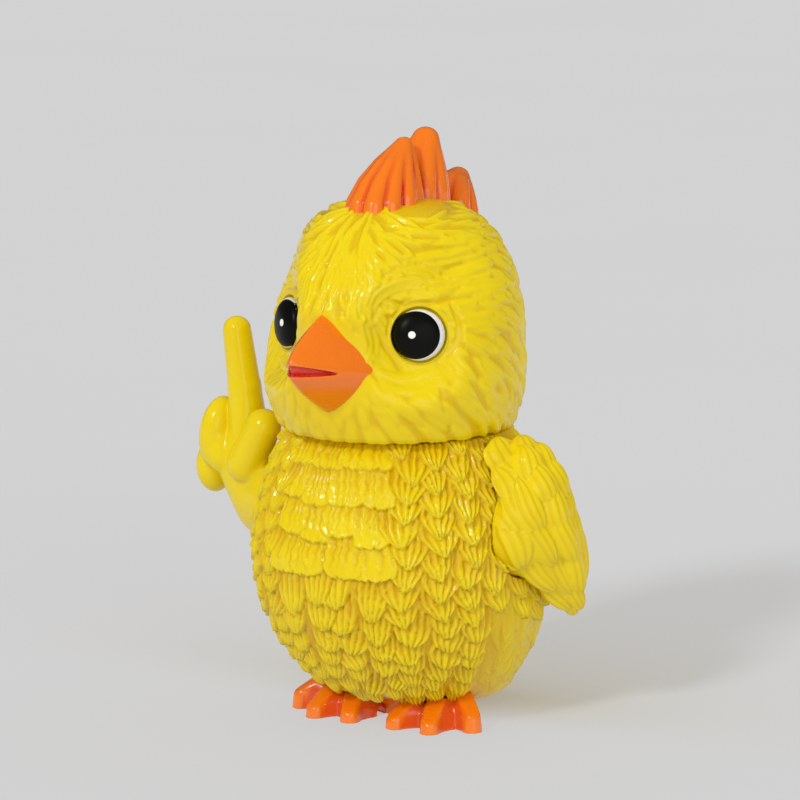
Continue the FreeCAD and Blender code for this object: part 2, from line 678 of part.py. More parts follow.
def make_right_arm():
    """The short raised arm with its palm, one raised finger, two folded fingers and a thumb."""
    finger_way = FINGER_TOP - FINGER_FOOT
    finger = doc.addObject("Part::Cone", "finger_shaft")
    bind(finger, Radius1=FINGER_FOOT_RADIUS, Radius2=FINGER_TOP_RADIUS, Height=finger_way.Length)
    place(finger, FINGER_FOOT, Rotation(ALONG_Z, finger_way))
    fingertip = ellipsoid("fingertip", FINGER_TOP, [FINGER_TOP_RADIUS] * 3)
    folded = swellings("folded_finger", FOLDED_FINGERS)
    limb("right_arm", -1, ARM_SWELLINGS, [finger, fingertip, *folded, *swellings("thumb", [THUMB])])


def make_left_wing():
    """The hanging wing: a thick shoulder, a broad middle and a flared tip."""
    limb("left_wing", 1, WING_SWELLINGS, [])


# ---- the whole figure --------------------------------------------------------------------

NODES = [
    "torso_shell", "sole_plate", "left_foot", "right_foot",
    "squeaker_cup", "squeaker_reed", "squeaker_cap",
    "head_shell", "comb", "beak", "left_eye", "right_eye", "left_pupil", "right_pupil",
    "push_on_washers", "neck_spool",
    "right_arm", "right_shoulder_spool", "left_wing", "left_shoulder_spool",
]


def build():
    make_torso()
    make_sole_plate()
    torso_seat = torso_body("torso_seat", size["seat_gap"],
                            size["sole_thickness"] - size["seat_gap"], SEAT_ROOM)
    for word, side in (("left", 1), ("right", -1)):
        make_foot(word, side, torso_seat)
        make_eye(word, side)
    make_squeaker()
    make_head()
    head_seat = head_body("head_seat", size["seat_gap"], size["neck_height"])
    make_beak(head_seat)
    make_comb(head_seat)
    make_washers()
    neck, chin = size["neck_height"], size["neck_height"] + size["joint_gap"]
    make_spool("neck_spool", neck_point(), ALONG_Z, neck, chin, size["neck_hole"],
               size["neck_flange"])
    floor = size["shoulder_floor"]
    for word, side in (("left", 1), ("right", -1)):
        point, outward = shoulder(side)
        make_spool(f"{word}_shoulder_spool", point, outward, floor, floor + size["joint_gap"],
                   size["shoulder_hole"], size["shoulder_flange"])
    make_right_arm()
    make_left_wing()


def check_and_write():
    """Stop at a failed object or a bad shape, then write one STEP file for each node."""
    failed = [item.Name for item in doc.Objects
              if "Invalid" in item.State or "Error" in item.State]
    if failed:
        raise SystemExit(f"objects that failed: {failed}")
    shapes = {}
    for name in NODES:
        item = doc.getObject(name)
        item.Label = name
        if item.Shape.isNull() or not item.Shape.isValid() or item.Shape.Volume <= 0:
            raise SystemExit(f"{name} has no valid shape")
        shapes[name] = item.Shape
    os.makedirs("parts", exist_ok=True)
    for name, shape in shapes.items():
        shape.exportStep(f"parts/{name}.step")
        print(f"{name}: {len(shape.Solids)} solid(s), {shape.Volume:.0f} mm3")


build()
doc.recompute()
check_and_write()
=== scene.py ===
import math

import bpy
import numpy as np
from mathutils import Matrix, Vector


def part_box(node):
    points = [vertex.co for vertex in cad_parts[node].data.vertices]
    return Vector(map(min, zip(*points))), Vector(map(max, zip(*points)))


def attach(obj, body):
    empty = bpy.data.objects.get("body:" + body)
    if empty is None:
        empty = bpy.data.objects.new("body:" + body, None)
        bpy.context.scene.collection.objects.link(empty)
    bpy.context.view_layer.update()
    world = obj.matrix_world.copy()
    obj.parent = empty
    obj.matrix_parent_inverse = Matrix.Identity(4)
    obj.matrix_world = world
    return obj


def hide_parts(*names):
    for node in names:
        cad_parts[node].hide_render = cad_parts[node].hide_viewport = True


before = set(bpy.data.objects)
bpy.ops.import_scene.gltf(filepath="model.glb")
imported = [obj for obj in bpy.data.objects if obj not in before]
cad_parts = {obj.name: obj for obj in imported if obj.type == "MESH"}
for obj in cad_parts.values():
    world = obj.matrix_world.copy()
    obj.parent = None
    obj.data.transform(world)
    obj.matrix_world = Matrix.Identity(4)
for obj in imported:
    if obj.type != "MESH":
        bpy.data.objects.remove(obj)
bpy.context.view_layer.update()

# A glossy moulded chick figure.  Shapes are worked out in millimetres, in the frame's own axes
# (+Z up, the chick faces -Y, its left side is +X), and scaled to metres when a mesh is made.
MM = 0.001
WORDS = {1: "left", -1: "right"}
FINE = 0.5             # grid step of the feathered skins, wing and comb
SHARP = 0.45           # grid step of the pieces with edges
SMOOTH = 0.55          # grid step of the smooth arm
rng = np.random.default_rng(7)


def corners(node):
    """A CAD node's lowest and highest corner in millimetres."""
    low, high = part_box(node)
    return np.array(low) / MM, np.array(high) / MM


TORSO_LOW, TORSO_HIGH = corners("torso_shell")
HEAD_LOW, HEAD_HIGH = corners("head_shell")
BELLY_RADIUS = (TORSO_HIGH[0] - TORSO_LOW[0]) / 2
BELLY_HEIGHT = 66.0    # where the torso is widest
BELLY_RISE, BELLY_DROP = 87.0, 70.0    # the egg's half heights above and below that
REAR_LEAN = 14.0       # how far back the torso's foot lies
HEAD_RADIUS = (HEAD_HIGH[0] - HEAD_LOW[0]) / 2
HEAD_HEIGHT = 146.0    # where the head is widest
CROWN_RISE, CHIN_DROP = 69.4, 58.0     # the head's half heights above and below that
CROWN_POWER = 2.65     # above 2, the crown is squarer than an ellipse
HEAD_CENTRE_Y = (HEAD_LOW[1] + HEAD_HIGH[1]) / 2
SHOULDER_HEIGHT = 85.0
SHOULDER_FLOOR = 54.0  # how far from the middle plane the shoulder recesses' floors are
LIMB_ROOT = 20.5       # radius of the limbs' round roots


# ---- numbers and fields ------------------------------------------------------------------

def smooth_step(value, start=0.0, end=1.0):
    share = np.clip((value - start) / (end - start), 0, 1)
    return share * share * (3 - 2 * share)


def wrap(angle):
    return (angle + np.pi) % (2 * np.pi) - np.pi


def turned(points, centre, turns):
    """Points in the axes of something turned about X, then Y, then Z (degrees)."""
    local = points - np.asarray(centre, float)
    for axis in (2, 1, 0):
        cos, sin = math.cos(math.radians(turns[axis])), math.sin(math.radians(turns[axis]))
        a, b = local[:, (axis + 1) % 3], local[:, (axis + 2) % 3]
        local[:, (axis + 1) % 3], local[:, (axis + 2) % 3] = a * cos + b * sin, b * cos - a * sin
    return local


def ellipsoid(points, centre, radii, turns=(0, 0, 0)):
    """Distance, nearly, to an ellipsoid."""
    local = turned(points, centre, turns)
    radii = np.asarray(radii, float)
    near = np.linalg.norm(local / radii, axis=1)
    far = np.linalg.norm(local / radii ** 2, axis=1)
    return near * (near - 1) / np.maximum(far, 1e-9)


def round_cone(points, start, end, start_radius, end_radius):
    """Distance to a rod whose radius runs from one value to another."""
    start, end = np.asarray(start, float), np.asarray(end, float)
    way = end - start
    share = np.clip((points - start) @ way / (way @ way), 0, 1)
    gap = np.linalg.norm(points - start - share[:, None] * way, axis=1)
    return gap - (start_radius + (end_radius - start_radius) * share)


def join(first, second, blend):
    """Union of two fields with a rounded crease."""
    near = np.maximum(blend - np.abs(first - second), 0) / blend
    return np.minimum(first, second) - near * near * blend / 4


def join_all(fields, blend):
    total = fields[0]
    for field in fields[1:]:
        total = join(total, field, blend)
    return total


def trim(first, second, blend):
    """The part of the first field inside the second, with a rounded edge."""
    return -join(-first, -second, blend)


# ---- meshes ------------------------------------------------------------------------------

def add_object(name, data):
    thing = bpy.data.objects.new(name, data)
    bpy.context.scene.collection.objects.link(thing)
    return thing


def make_piece(name, points, faces, body, node, slot, material, **values):
    """A smooth mesh piece that stands for a CAD node, with named values on its vertices."""
    mesh = bpy.data.meshes.new(name)
    faces = np.asarray(faces)
    mesh.vertices.add(len(points))
    mesh.vertices.foreach_set("co", (np.asarray(points) * MM).astype(np.float32).ravel())
    sides = faces.shape[1]
    mesh.loops.add(faces.size)
    mesh.loops.foreach_set("vertex_index", faces.astype(np.int32).ravel())
    mesh.polygons.add(len(faces))
    mesh.polygons.foreach_set("loop_start", np.arange(0, faces.size, sides, dtype=np.int32))
    mesh.update(calc_edges=True)
    mesh.validate()
    mesh.polygons.foreach_set("use_smooth", np.ones(len(mesh.polygons), bool))
    for key, amounts in values.items():
        layer = mesh.attributes.new(key, "FLOAT", "POINT")
        layer.data.foreach_set("value", np.asarray(amounts, np.float32).ravel())
    mesh.materials.append(material)
    piece = add_object(name, mesh)
    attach(piece, body)
    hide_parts(node)


def ring_faces(rows, columns):
    """Quads between rows of rings, wound so that they face outwards for rows that go up."""
    row, column = np.meshgrid(np.arange(rows - 1), np.arange(columns), indexing="ij")
    after = (column + 1) % columns
    quads = [row * columns + column, row * columns + after,
             (row + 1) * columns + after, (row + 1) * columns + column]
    return np.stack(quads, -1).reshape(-1, 4)


def closed_rings(rings):
    """A closed surface through rings; its ends shrink to tiny rings that are then filled."""
    rows, columns = rings.shape[:2]
    faces = ring_faces(rows, columns)
    points = rings.reshape(-1, 3)
    ends = np.array([rings[0].mean(0), rings[-1].mean(0)])
    low, high = len(points), len(points) + 1
    column = np.arange(0, columns, 2)
    middle, after = column + 1, (column + 2) % columns
    first = np.stack([after, middle, column, np.full_like(column, low)], -1)
    top = (rows - 1) * columns
    last = np.stack([top + column, top + middle, top + after, np.full_like(column, high)], -1)
    return np.vstack([points, ends]), np.vstack([faces, first, last])


def ring_normals(rings):
    """Outward normals of rings whose rows go up and whose columns turn towards +X from -Y."""
    around = np.roll(rings, -1, 1) - np.roll(rings, 1, 1)
    up = np.gradient(rings, axis=0)
    normal = np.cross(around, up)
    return normal / np.maximum(np.linalg.norm(normal, axis=2, keepdims=True), 1e-9)


def field_surface(field, low, high, step):
    """The zero surface of a field as quads, one vertex in each grid cell that it crosses."""
    axes = [np.arange(a, b + step, step) for a, b in zip(low, high)]
    grid = np.stack(np.meshgrid(*axes, indexing="ij"), -1)
    value = field(grid.reshape(-1, 3)).reshape(grid.shape[:3])
    cells = np.array(value.shape) - 1

    def corner(offset):
        return value[tuple(slice(o, o + c) for o, c in zip(offset, cells))]

    total, count = np.zeros((*cells, 3)), np.zeros(cells)
    for axis in range(3):
        for start in np.ndindex(2, 2, 2):
            if start[axis]:
                continue
            a, b = corner(start), corner(start + np.eye(3, dtype=int)[axis])
            crossed = (a < 0) != (b < 0)
            share = np.where(crossed, a / np.where(crossed, a - b, 1), 0)
            for part in range(3):
                total[..., part] += crossed * (share if part == axis else start[part])
            count += crossed
    used = count > 0
    number = np.full(cells, -1)
    number[used] = np.arange(used.sum())
    points = np.array(low) + step * (np.argwhere(used) + total[used] / count[used][:, None])
    quads = []
    for axis in range(3):
        a, b = (axis + 1) % 3, (axis + 2) % 3
        ahead = np.take(value, np.arange(1, value.shape[axis]), axis)
        behind = np.take(value, np.arange(0, cells[axis]), axis)
        spots = np.argwhere((ahead < 0) != (behind < 0))
        within = (spots > 0) & (spots < cells)
        spots = spots[within[:, a] & within[:, b]]
        leaves = behind[tuple(spots.T)] < 0
        around = []
        for step_a, step_b in ((-1, -1), (0, -1), (0, 0), (-1, 0)):
            cell = spots.copy()
            cell[:, a] += step_a
            cell[:, b] += step_b
            around.append(number[tuple(cell.T)])
        quad = np.stack(around, -1)
        quads.append(np.where(leaves[:, None], quad, quad[:, ::-1]))
    for _ in range(2):
        points = settle(field, points, step)
    return points, np.vstack(quads)


def slope(field, points, reach):
    """Gradient of a field by small steps."""
    parts = []
    for axis in range(3):
        shift = np.zeros(3)
        shift[axis] = reach
        parts.append((field(points + shift) - field(points - shift)) / (2 * reach))
    return np.stack(parts, -1)


def field_normals(field, points, reach):
    grad = slope(field, points, reach)
    return grad / np.maximum(np.linalg.norm(grad, axis=1, keepdims=True), 1e-9)


def settle(field, points, step):
    """Move points onto a field's zero surface."""
    grad = slope(field, points, step / 4)
    size = np.maximum((grad ** 2).sum(1), 0.05)
    move = -field(points)[:, None] * grad / size[:, None]
    longest = np.linalg.norm(move, axis=1, keepdims=True)
    return points + move * np.minimum(1, 0.5 * step / np.maximum(longest, 1e-9))


# ---- materials ---------------------------------------------------------------------------

class Nodes:
    """A short way to write a material's node tree."""

    def __init__(self, name):
        self.material = bpy.data.materials.new(name)
        self.material.use_nodes = True
        self.tree = self.material.node_tree
        self.shader = self.tree.nodes["Principled BSDF"]

    def add(self, kind, inputs=None, **settings):
        node = self.tree.nodes.new(kind)
        for key, value in settings.items():
            setattr(node, key, value)
        for key, value in (inputs or {}).items():
            self.put(node, key, value)
        return node

    def put(self, node, key, value):
        if isinstance(value, bpy.types.NodeSocket):
            self.tree.links.new(value, node.inputs[key])
        else:
            node.inputs[key].default_value = value

    def noise(self, scale, detail=3.0):
        place = self.add("ShaderNodeTexCoord").outputs["Object"]
        return self.add("ShaderNodeTexNoise", {"Vector": place, "Scale": scale, "Detail": detail}
                        ).outputs["Fac"]

    def mix(self, factor, first, second):
        node = self.add("ShaderNodeMix", data_type="RGBA")
        self.put(node, "Factor", factor)
        self.put(node, 6, first)
        self.put(node, 7, second)
        return node.outputs[2]

    def spread(self, value, low, high, start=0.35, end=0.65):
        return self.add("ShaderNodeMapRange", {"Value": value, "From Min": start,
                                               "From Max": end, "To Min": low, "To Max": high}
                        ).outputs["Result"]

    def value(self, name):
        return self.add("ShaderNodeAttribute", attribute_name=name).outputs["Fac"]

    def bump(self, height, distance, strength):
        return self.add("ShaderNodeBump", {"Height": height, "Distance": distance,
                                           "Strength": strength}).outputs["Normal"]

    def shade(self, **inputs):
        for key, value in inputs.items():
            self.put(self.shader, key.replace("_", " "), value)
        return self.material


def glossy_vinyl(name, light, deep):
    """Lacquered vinyl under a clear coat: painted shade turns the colour towards the deep one in
    the relief's hollows, and random patches lean a little towards it too.
    """
    nodes = Nodes(name)
    patches = nodes.mix(nodes.spread(nodes.noise(40.0), 0, 0.15), light, deep)
    colour = nodes.mix(nodes.value("hollow"), patches, deep)
    rough = nodes.spread(nodes.noise(400.0), 0.26, 0.36)
    ripple = nodes.bump(nodes.noise(260.0, 2.0), 0.0002, 0.35)
    return nodes.shade(Base_Color=colour, Roughness=rough, Coat_Weight=0.5, Coat_Roughness=0.1,
                       Specular_IOR_Level=0.1, Normal=ripple)


PAINT_LOW, PAINT_HIGH = 0.4, 0.6      # the second colour starts and is full at these values


def painted(name, base, paint, gloss, coat=0.6):
    """A glossy surface with a second colour where the mesh's paint values ask for it: real paint
    on some pieces, painted shade on others.
    """
    nodes = Nodes(name)
    grain = nodes.spread(nodes.noise(60.0), 0.0, 0.15)
    mixed = nodes.mix(grain, base, [part * 0.8 for part in base[:3]] + [1])
    edge = nodes.spread(nodes.value("paint"), 0, 1, PAINT_LOW, PAINT_HIGH)
    colour = nodes.mix(edge, mixed, paint)
    rough = nodes.spread(nodes.noise(500.0), gloss, gloss + 0.08)
    return nodes.shade(Base_Color=colour, Roughness=rough, Coat_Weight=coat, Coat_Roughness=0.06,
                       Specular_IOR_Level=0.1 + 0.6 * coat)


def moulded(name, colour, rough, metallic=0.0):
    """Plain moulded or rolled stock with faint mottling, for the inner parts."""
    nodes = Nodes(name)
    dark = [part * 0.7 for part in colour[:3]] + [1]
    mottled = nodes.mix(nodes.spread(nodes.noise(700.0), 0, 0.5), colour, dark)
    fine = nodes.bump(nodes.noise(2500.0), 0.0001, 0.3)
    return nodes.shade(Base_Color=mottled, Roughness=rough, Metallic=metallic, Normal=fine)


# The second yellow is the painted shade of the relief's hollows; faint random patches lean towards
# it too.
YELLOW = glossy_vinyl("yellow_vinyl", (0.85, 0.65, 0.004, 1), (0.68, 0.38, 0.001, 1))
# The orange's second colour is the real red inside the beak's slit, and painted shade in the
# comb's grooves and on the toes' sides.
ORANGE = painted("orange_vinyl", (0.95, 0.20, 0.002, 1), (0.72, 0.030, 0.012, 1), 0.2)
WHITE = moulded("eye_white", (0.84, 0.84, 0.80, 1), 0.15)
BLACK = painted("eye_black", (0.004, 0.004, 0.003, 1), (0.90, 0.90, 0.88, 1), 0.3, 0.0)
PLASTIC = moulded("inner_plastic", (0.72, 0.72, 0.68, 1), 0.45)
BRASS = moulded("reed_brass", (0.72, 0.48, 0.16, 1), 0.3, 1.0)


# ---- relief ------------------------------------------------------------------------------

class Skin:
    """A surface of level rings with a relief painted on it in millimetres."""

    def __init__(self, heights, radius, ring, columns):
        self.heights = heights
        self.radius = np.array([radius(height) for height in heights])
        self.angle = np.linspace(-np.pi, np.pi, columns, endpoint=False)
        self.rings = np.stack([ring(height, self.angle) for height in heights])
        step = np.linalg.norm(np.diff(self.rings[:, columns // 2], axis=0), axis=1)
        self.arc = np.concatenate([[0], np.cumsum(step)])
        self.relief = np.zeros(self.rings.shape[:2])

    def arc_at(self, height):
        return np.interp(height, self.heights, self.arc)

    def paint(self, angle, height, reach, stamp, added=False):
        """Lay a stamp over the relief around a point, hiding what is under it or added to it."""
        level = self.arc_at(height)
        rows = np.flatnonzero(np.abs(self.arc - level) < reach)
        round_there = max(np.interp(height, self.heights, self.radius), 4.0)
        offset = wrap(self.angle - angle)
        columns = np.flatnonzero(np.abs(offset) * round_there < reach * 1.3)
        if not len(rows) or not len(columns):
            return
        across = offset[columns][None, :] * self.radius[rows][:, None]
        up = np.broadcast_to((self.arc[rows] - level)[:, None], across.shape)
        raised, cover = stamp(across, up)
        block = np.ix_(rows, columns)
        kept = self.relief[block] * (1 if added else 1 - cover)
        self.relief[block] = kept + raised * cover

    def soften(self, times):
        """Round off the relief's sharpest edges."""
        for _ in range(times):
            near = np.roll(self.relief, 1, 1) + np.roll(self.relief, -1, 1)
            self.relief = (2 * self.relief + near) / 4
            self.relief[1:-1] = (2 * self.relief[1:-1] + self.relief[2:] + self.relief[:-2]) / 4

    def trace(self, angles, heights, width, lift):
        """Lay one long rounded ridge along a course over the surface."""
        course = smooth_course(np.stack([angles, self.arc_at(heights)], -1), 3)
        rows = np.flatnonzero((self.arc > course[:, 1].min() - width)
                              & (self.arc < course[:, 1].max() + width))
        middle = course[:, 0].mean()
        offset = wrap(self.angle - middle)
        span = np.abs(course[:, 0] - middle).max() + 2 * width / self.radius[rows].min()
        columns = np.flatnonzero(np.abs(offset) < span)
        radius = self.radius[rows][:, None, None]
        across = (offset[columns][None, :, None] - (course[:, 0] - middle)) * radius
        up = self.arc[rows][:, None, None] - course[:, 1]
        gap = np.sqrt(across ** 2 + up ** 2)
        nearest = gap.argmin(-1)
        share = nearest / (len(course) - 1)
        half = width / 2 * (1 - np.abs(2 * share - 1) ** 3) ** 0.5 + 0.05
        side = gap.min(-1) / half
        cover = smooth_step(side, 1.25, 0.85)
        raised = lift * np.sqrt(np.clip(1 - np.minimum(side, 1) ** 2, 0, 1))
        block = np.ix_(rows, columns)
        self.relief[block] = self.relief[block] * (1 - cover) + raised * cover


def smooth_course(values, count):
    """More points on a smooth course through a few."""
    for _ in range(count):
        middle = (values[1:] + values[:-1]) / 2
        bent = middle.copy()
        bent[1:-1] = (9 * (values[2:-1] + values[1:-2]) - values[3:] - values[:-3]) / 16
        finer = np.empty((len(values) + len(bent), *values.shape[1:]))
        finer[::2], finer[1::2] = values, bent
        values = finer
    return values


def tuft(width, reach, point, strands, lift, groove, turn, lip, phase, wild):
    """A feather tuft whose tip is at the stamp's point; its strands run together at the tip.

    `point` is 0 for a round tip and 1 for a pointed one.  A tuft with a lip is broad and flat,
    with a raised, nearly straight lower edge.  `phase` crinkles each tuft in its own way, and
    `wild` says how much.
    """
    def stamp(across, up):
        cos, sin = math.cos(turn), math.sin(turn)
        y = across * sin + up * cos
        along = 1 - y / reach
        x = across * cos - up * sin + 0.35 * wild * np.sin(1.3 * y + phase)
        start = 0.32 + 0.6 * lip
        narrow = np.clip((along - start) / (1 - start), 0, 1)
        half = width / 2 * (1 - narrow ** (2.1 - 0.9 * point)) ** (0.62 + 0.3 * point - 0.1 * lip)
        side = x / (half + 0.3)
        bent = side + wild * (0.09 * np.sin(5 * side + phase)
                              + 0.07 * np.sin(7 * along + 2 * phase))
        ridge = np.abs(np.cos(np.pi * strands * bent / 2)) ** 0.6
        each = np.sin(2.4 * np.round(strands * bent / 2 + 0.5) + phase)
        frill = 1.1 * (1 - ridge) + 0.6 * wild * each
        inside = np.minimum(half - np.abs(x), (y - frill) * 1.2)
        cover = smooth_step(inside, 0.0, 0.6)
        deep = groove * smooth_step(half / width, 0.04, 0.2)
        deep = deep * (1 - 0.55 * lip * smooth_step(along, 0.6, 0.85))
        rim = 1 - np.exp(-np.maximum(inside, 0) / 0.7)
        rise = 0.15 + 0.85 * smooth_step(along, 0.1, 0.95)
        raised = lift * rise * (0.4 + 0.6 * rim) + 0.5 * lip * np.exp(-((inside - 1.3) / 0.9) ** 2)
        raised = raised + 0.35 * (1 - np.minimum(side ** 2, 1)) - deep * (1 - ridge)
        return raised + 0.15 * wild * each, cover
    return stamp


def stroke(width, reach, lift, heading, bend, tip=1.0):
    """A lock of plumage that lies along a heading (radians from straight down).

    With `tip` at 1 its end stands up; at 0 both of its ends sink into the skin.
    """
    def stamp(across, up):
        cos, sin = math.cos(heading), math.sin(heading)
        along = across * sin - up * cos
        side = across * cos + up * sin - bend * along ** 2
        share = along / reach
        half = width / 2 * np.clip(1 - np.abs(2 * share) ** 2.6, 0, 1)
        inside = half - np.abs(side)
        cover = smooth_step(inside, -0.05, 0.45)
        round_top = np.sqrt(np.clip(1 - (side / (half + 0.2)) ** 2, 0, 1))
        sunk = np.clip(1 - np.abs(2 * share) ** 3, 0, 1)
        raised_end = 0.25 + 0.75 * smooth_step(share, -0.5, 0.4)
        raised = lift * (sunk + tip * (raised_end - sunk)) * round_top
        return raised, cover
    return stamp


# ---- torso -------------------------------------------------------------------------------

TUFT_COLUMNS = 27
CRINKLES = 1300        # small wrinkles laid over the tufts
CENTRE_TIPS = (110.5, 96.5, 82.0, 68.0, 55.0, 44.0, 35.0, 27.5, 21.0, 15.0, 9.5)
SIDE_TIPS = (114.5, 106.0, 97.5, 89.0, 80.5, 72.0, 63.5, 55.0, 47.0, 39.0, 32.0, 25.5, 19.5,
             14.5, 9.5)
TORSO_DEPTH = 2.2      # the relief's peaks reach the CAD surface, its hollows lie this far in
UNDERSIDE = 14.0       # below this height the torso rounds in towards its sole
RUFFLED = math.radians(27)    # this far from the middle the breast has broad ruffled rows
BARE_SIDE = 62         # beyond this angle (degrees) the lower torso has no tufts
SIDE_STROKES = 260     # soft locks on the torso's lower sides
COLUMNS = 756          # points in a ring of the feathered skins
CAP_LOW, CAP_HIGH = 12, 16    # rings that close the torso's ends


def belly_radius(height):
    half = BELLY_RISE if height > BELLY_HEIGHT else BELLY_DROP
    tuck = 1 - 0.34 * max((UNDERSIDE - height) / 9, 0) ** 2
    swell = 1.0 * math.exp(-((height - 74) / 13) ** 2)
    egg = BELLY_RADIUS * math.sqrt(max(1 - ((height - BELLY_HEIGHT) / half) ** 2, 0))
    return egg * tuck + swell


def belly_middle(height):
    """How far back the torso's axis lies at a height."""
    return REAR_LEAN * np.clip((BELLY_HEIGHT - height) / BELLY_HEIGHT, 0, 1) ** 1.5


def belly_ring(height, angle):
    back = belly_middle(height)
    rear = smooth_step(np.abs(angle), 1.1, 2.0) * smooth_step(height, 20, 5)
    radius = belly_radius(height) * (1 + 0.1 * rear)
    return np.stack([radius * np.sin(angle), back - radius * np.cos(angle),
                     np.full_like(angle, height)], -1)


def even_heights(low, high, ring, step):
    """Heights between two levels, evenly spaced along the front profile."""
    trial = np.linspace(low, high, 2000)
    profile = np.stack([ring(height, np.array([0.0]))[0] for height in trial])
    run = np.concatenate([[0], np.cumsum(np.linalg.norm(np.diff(profile, axis=0), axis=1))])
    return np.interp(np.linspace(0, run[-1], int(run[-1] / step)), run, trial)


def belly_tufts():
    """Every tuft as height, angle and stamp, for columns of tufts round the torso."""
    tufts = []
    pitch = 2 * np.pi / TUFT_COLUMNS
    for column in range(TUFT_COLUMNS):
        angle = wrap(pitch * (column + 0.5))
        centre = abs(angle) < RUFFLED
        tips = CENTRE_TIPS if centre else SIDE_TIPS
        for row, tip in enumerate(tips):
            stagger = column % 2 and (not centre or tip < 60)
            lower = tips[row + 1] if row + 1 < len(tips) else tip - 5
            upper = tips[row - 1] if row else tip + 8
            height = tip - 0.5 * (tip - lower) * stagger + rng.normal(0, 0.4)
            room = belly_radius(height) * pitch
            reach = 1.75 * max(upper - tip, 8.0)
            side = abs(math.degrees(angle))
            if side > BARE_SIDE and height < 46 - 0.1 * (side - BARE_SIDE):
                continue
            turn = rng.normal(0, 0.09 if height > 60 else 0.16)
            phase = rng.uniform(0, 2 * math.pi)
            jitter = rng.normal(0, 0.025)
            size = rng.uniform(0.92, 1.12)
            if centre and height > 62:
                height += 0.9 * math.sin(2.3 * column + row) + rng.normal(0, 0.5)
                stamp = tuft(room * 1.28 * size, reach, 0.0, rng.integers(4, 7), 2.2, 1.1,
                             0.5 * turn, 0.86, phase, 0.9)
            else:
                height += rng.normal(0, 0.45)
                point = 0.15 + 0.7 * smooth_step(side, 22, 38) * smooth_step(height, 34, 52)
                stamp = tuft(room * 1.25 * size, reach, point, rng.integers(5, 7), 2.6, 1.7,
                             turn, 0.0, phase, 0.3)
            tufts.append((height, angle + jitter, reach * 1.25, stamp))
    return sorted(tufts, key=lambda item: item[0])


def paint_torso(skin):
    for _ in range(SIDE_STROKES):
        side = rng.choice((-1, 1)) * math.radians(rng.uniform(55, 180))
        height = rng.uniform(8, 52)
        skin.paint(side, height, 22,
                   stroke(rng.uniform(4, 6), rng.uniform(18, 30), 0.7, rng.normal(0.1, 0.2), 0.0))
    for height, angle, reach, stamp in belly_tufts():
        skin.paint(angle, height, reach, stamp)
    for _ in range(CRINKLES):
        height = rng.uniform(16, 118)
        angle = rng.uniform(-np.pi, np.pi)
        crinkle = stroke(rng.uniform(1.5, 2.4), rng.uniform(4, 8), 0.45, rng.normal(0, 0.4),
                         rng.normal(0, 0.03), 0.0)
        skin.paint(angle, height, 6, crinkle, added=True)


def sink_shoulders(points):
    """Press the flat shoulder recesses into the torso."""
    radius = np.hypot(points[..., 1], points[..., 2] - SHOULDER_HEIGHT)
    inner = smooth_step(radius, LIMB_ROOT + 0.9, LIMB_ROOT + 0.3)
    side = np.sign(points[..., 0])
    limit = np.abs(points[..., 0]) * (1 - inner) + SHOULDER_FLOOR * inner
    pressed = np.minimum(np.abs(points[..., 0]), limit)
    points[..., 0] = np.where(inner > 0, side * pressed, points[..., 0])
    return points


def end_cap(ring, count, sign):
    """Rings that close a level opening: from its edge to near its middle."""
    middle = ring.mean(0)
    shares = np.linspace(1, 0.02, count + 1)[1:]
    rings = np.stack([middle + (ring - middle) * share for share in shares])
    return rings if sign > 0 else rings[::-1]


def make_torso():
    heights = even_heights(TORSO_LOW[2] + 0.1, TORSO_HIGH[2], belly_ring, FINE)
    skin = Skin(heights, belly_radius, belly_ring, COLUMNS)
    paint_torso(skin)
    behind = smooth_step(np.abs(skin.angle), math.radians(66), math.radians(90))[None, :]
    low_down = smooth_step(heights, 62, 46)[:, None]
    smooth_part = 2.3 * behind * low_down
    fade = smooth_step(heights, 2.5, 6)[:, None]
    depth = skin.relief * fade - TORSO_DEPTH + smooth_part
    rings = skin.rings + ring_normals(skin.rings) * depth[..., None]
    rings[..., 2] = np.clip(rings[..., 2], TORSO_LOW[2] + 0.1, TORSO_HIGH[2])
    rings = sink_shoulders(rings)
    rings = np.concatenate([end_cap(rings[0], CAP_LOW, -1), rings,
                            end_cap(rings[-1], CAP_HIGH, 1)])
    points, faces = closed_rings(rings)
    hollow = np.zeros(rings.shape[:2])
    # Painted shade: the colour deepens where the relief lies low, and less on the smooth lower
    # back.
    hollow[CAP_LOW:-CAP_HIGH] = np.clip(0.8 - 0.4 * skin.relief - 0.2 * smooth_part, 0, 0.8)
    hollow = np.concatenate([hollow.ravel(), [0, 0]])
    make_piece("feathered_torso", points, faces, "torso", "torso_shell", "yellow_skin", YELLOW,
               hollow=hollow)


# ---- head --------------------------------------------------------------------------------

# How the plumage lies: angle from straight ahead, height, heading from straight down towards
# the back of the head (degrees), then width, length and height of a lock.
PLUMAGE = (
    (0, 207, 8, 2.4, 20, 0.7), (28, 206, 30, 2.4, 20, 0.7), (14, 196, -8, 2.9, 28, 1.0),
    (0, 188, -4, 2.9, 22, 1.2), (26, 188, 40, 3.2, 26, 1.3), (36, 192, 82, 3.4, 34, 1.6),
    (50, 186, 100, 3.6, 36, 1.7), (55, 199, 88, 3.2, 30, 1.0), (78, 200, 104, 3.2, 24, 0.9),
    (80, 184, 95, 3.8, 26, 1.0), (82, 170, 80, 3.6, 22, 0.8), (100, 190, 60, 3.0, 17, 1.2),
    (112, 172, 38, 2.9, 15, 1.3), (112, 150, 30, 2.9, 15, 1.3), (88, 155, 55, 4.2, 22, 0.8),
    (82, 140, 40, 4.8, 22, 0.9), (55, 142, 42, 5.4, 28, 0.9), (34, 138, 32, 5.4, 22, 0.6),
    (0, 130, 0, 5.0, 16, 0.3), (45, 127, 40, 5.4, 18, 0.6), (100, 128, 30, 3.4, 16, 1.1),
    (180, 200, 0, 3.1, 18, 1.3), (180, 170, 0, 3.0, 16, 1.4), (150, 150, 12, 3.0, 15, 1.4),
    (180, 130, 0, 3.0, 15, 1.3), (140, 195, 30, 3.1, 17, 1.3),
)
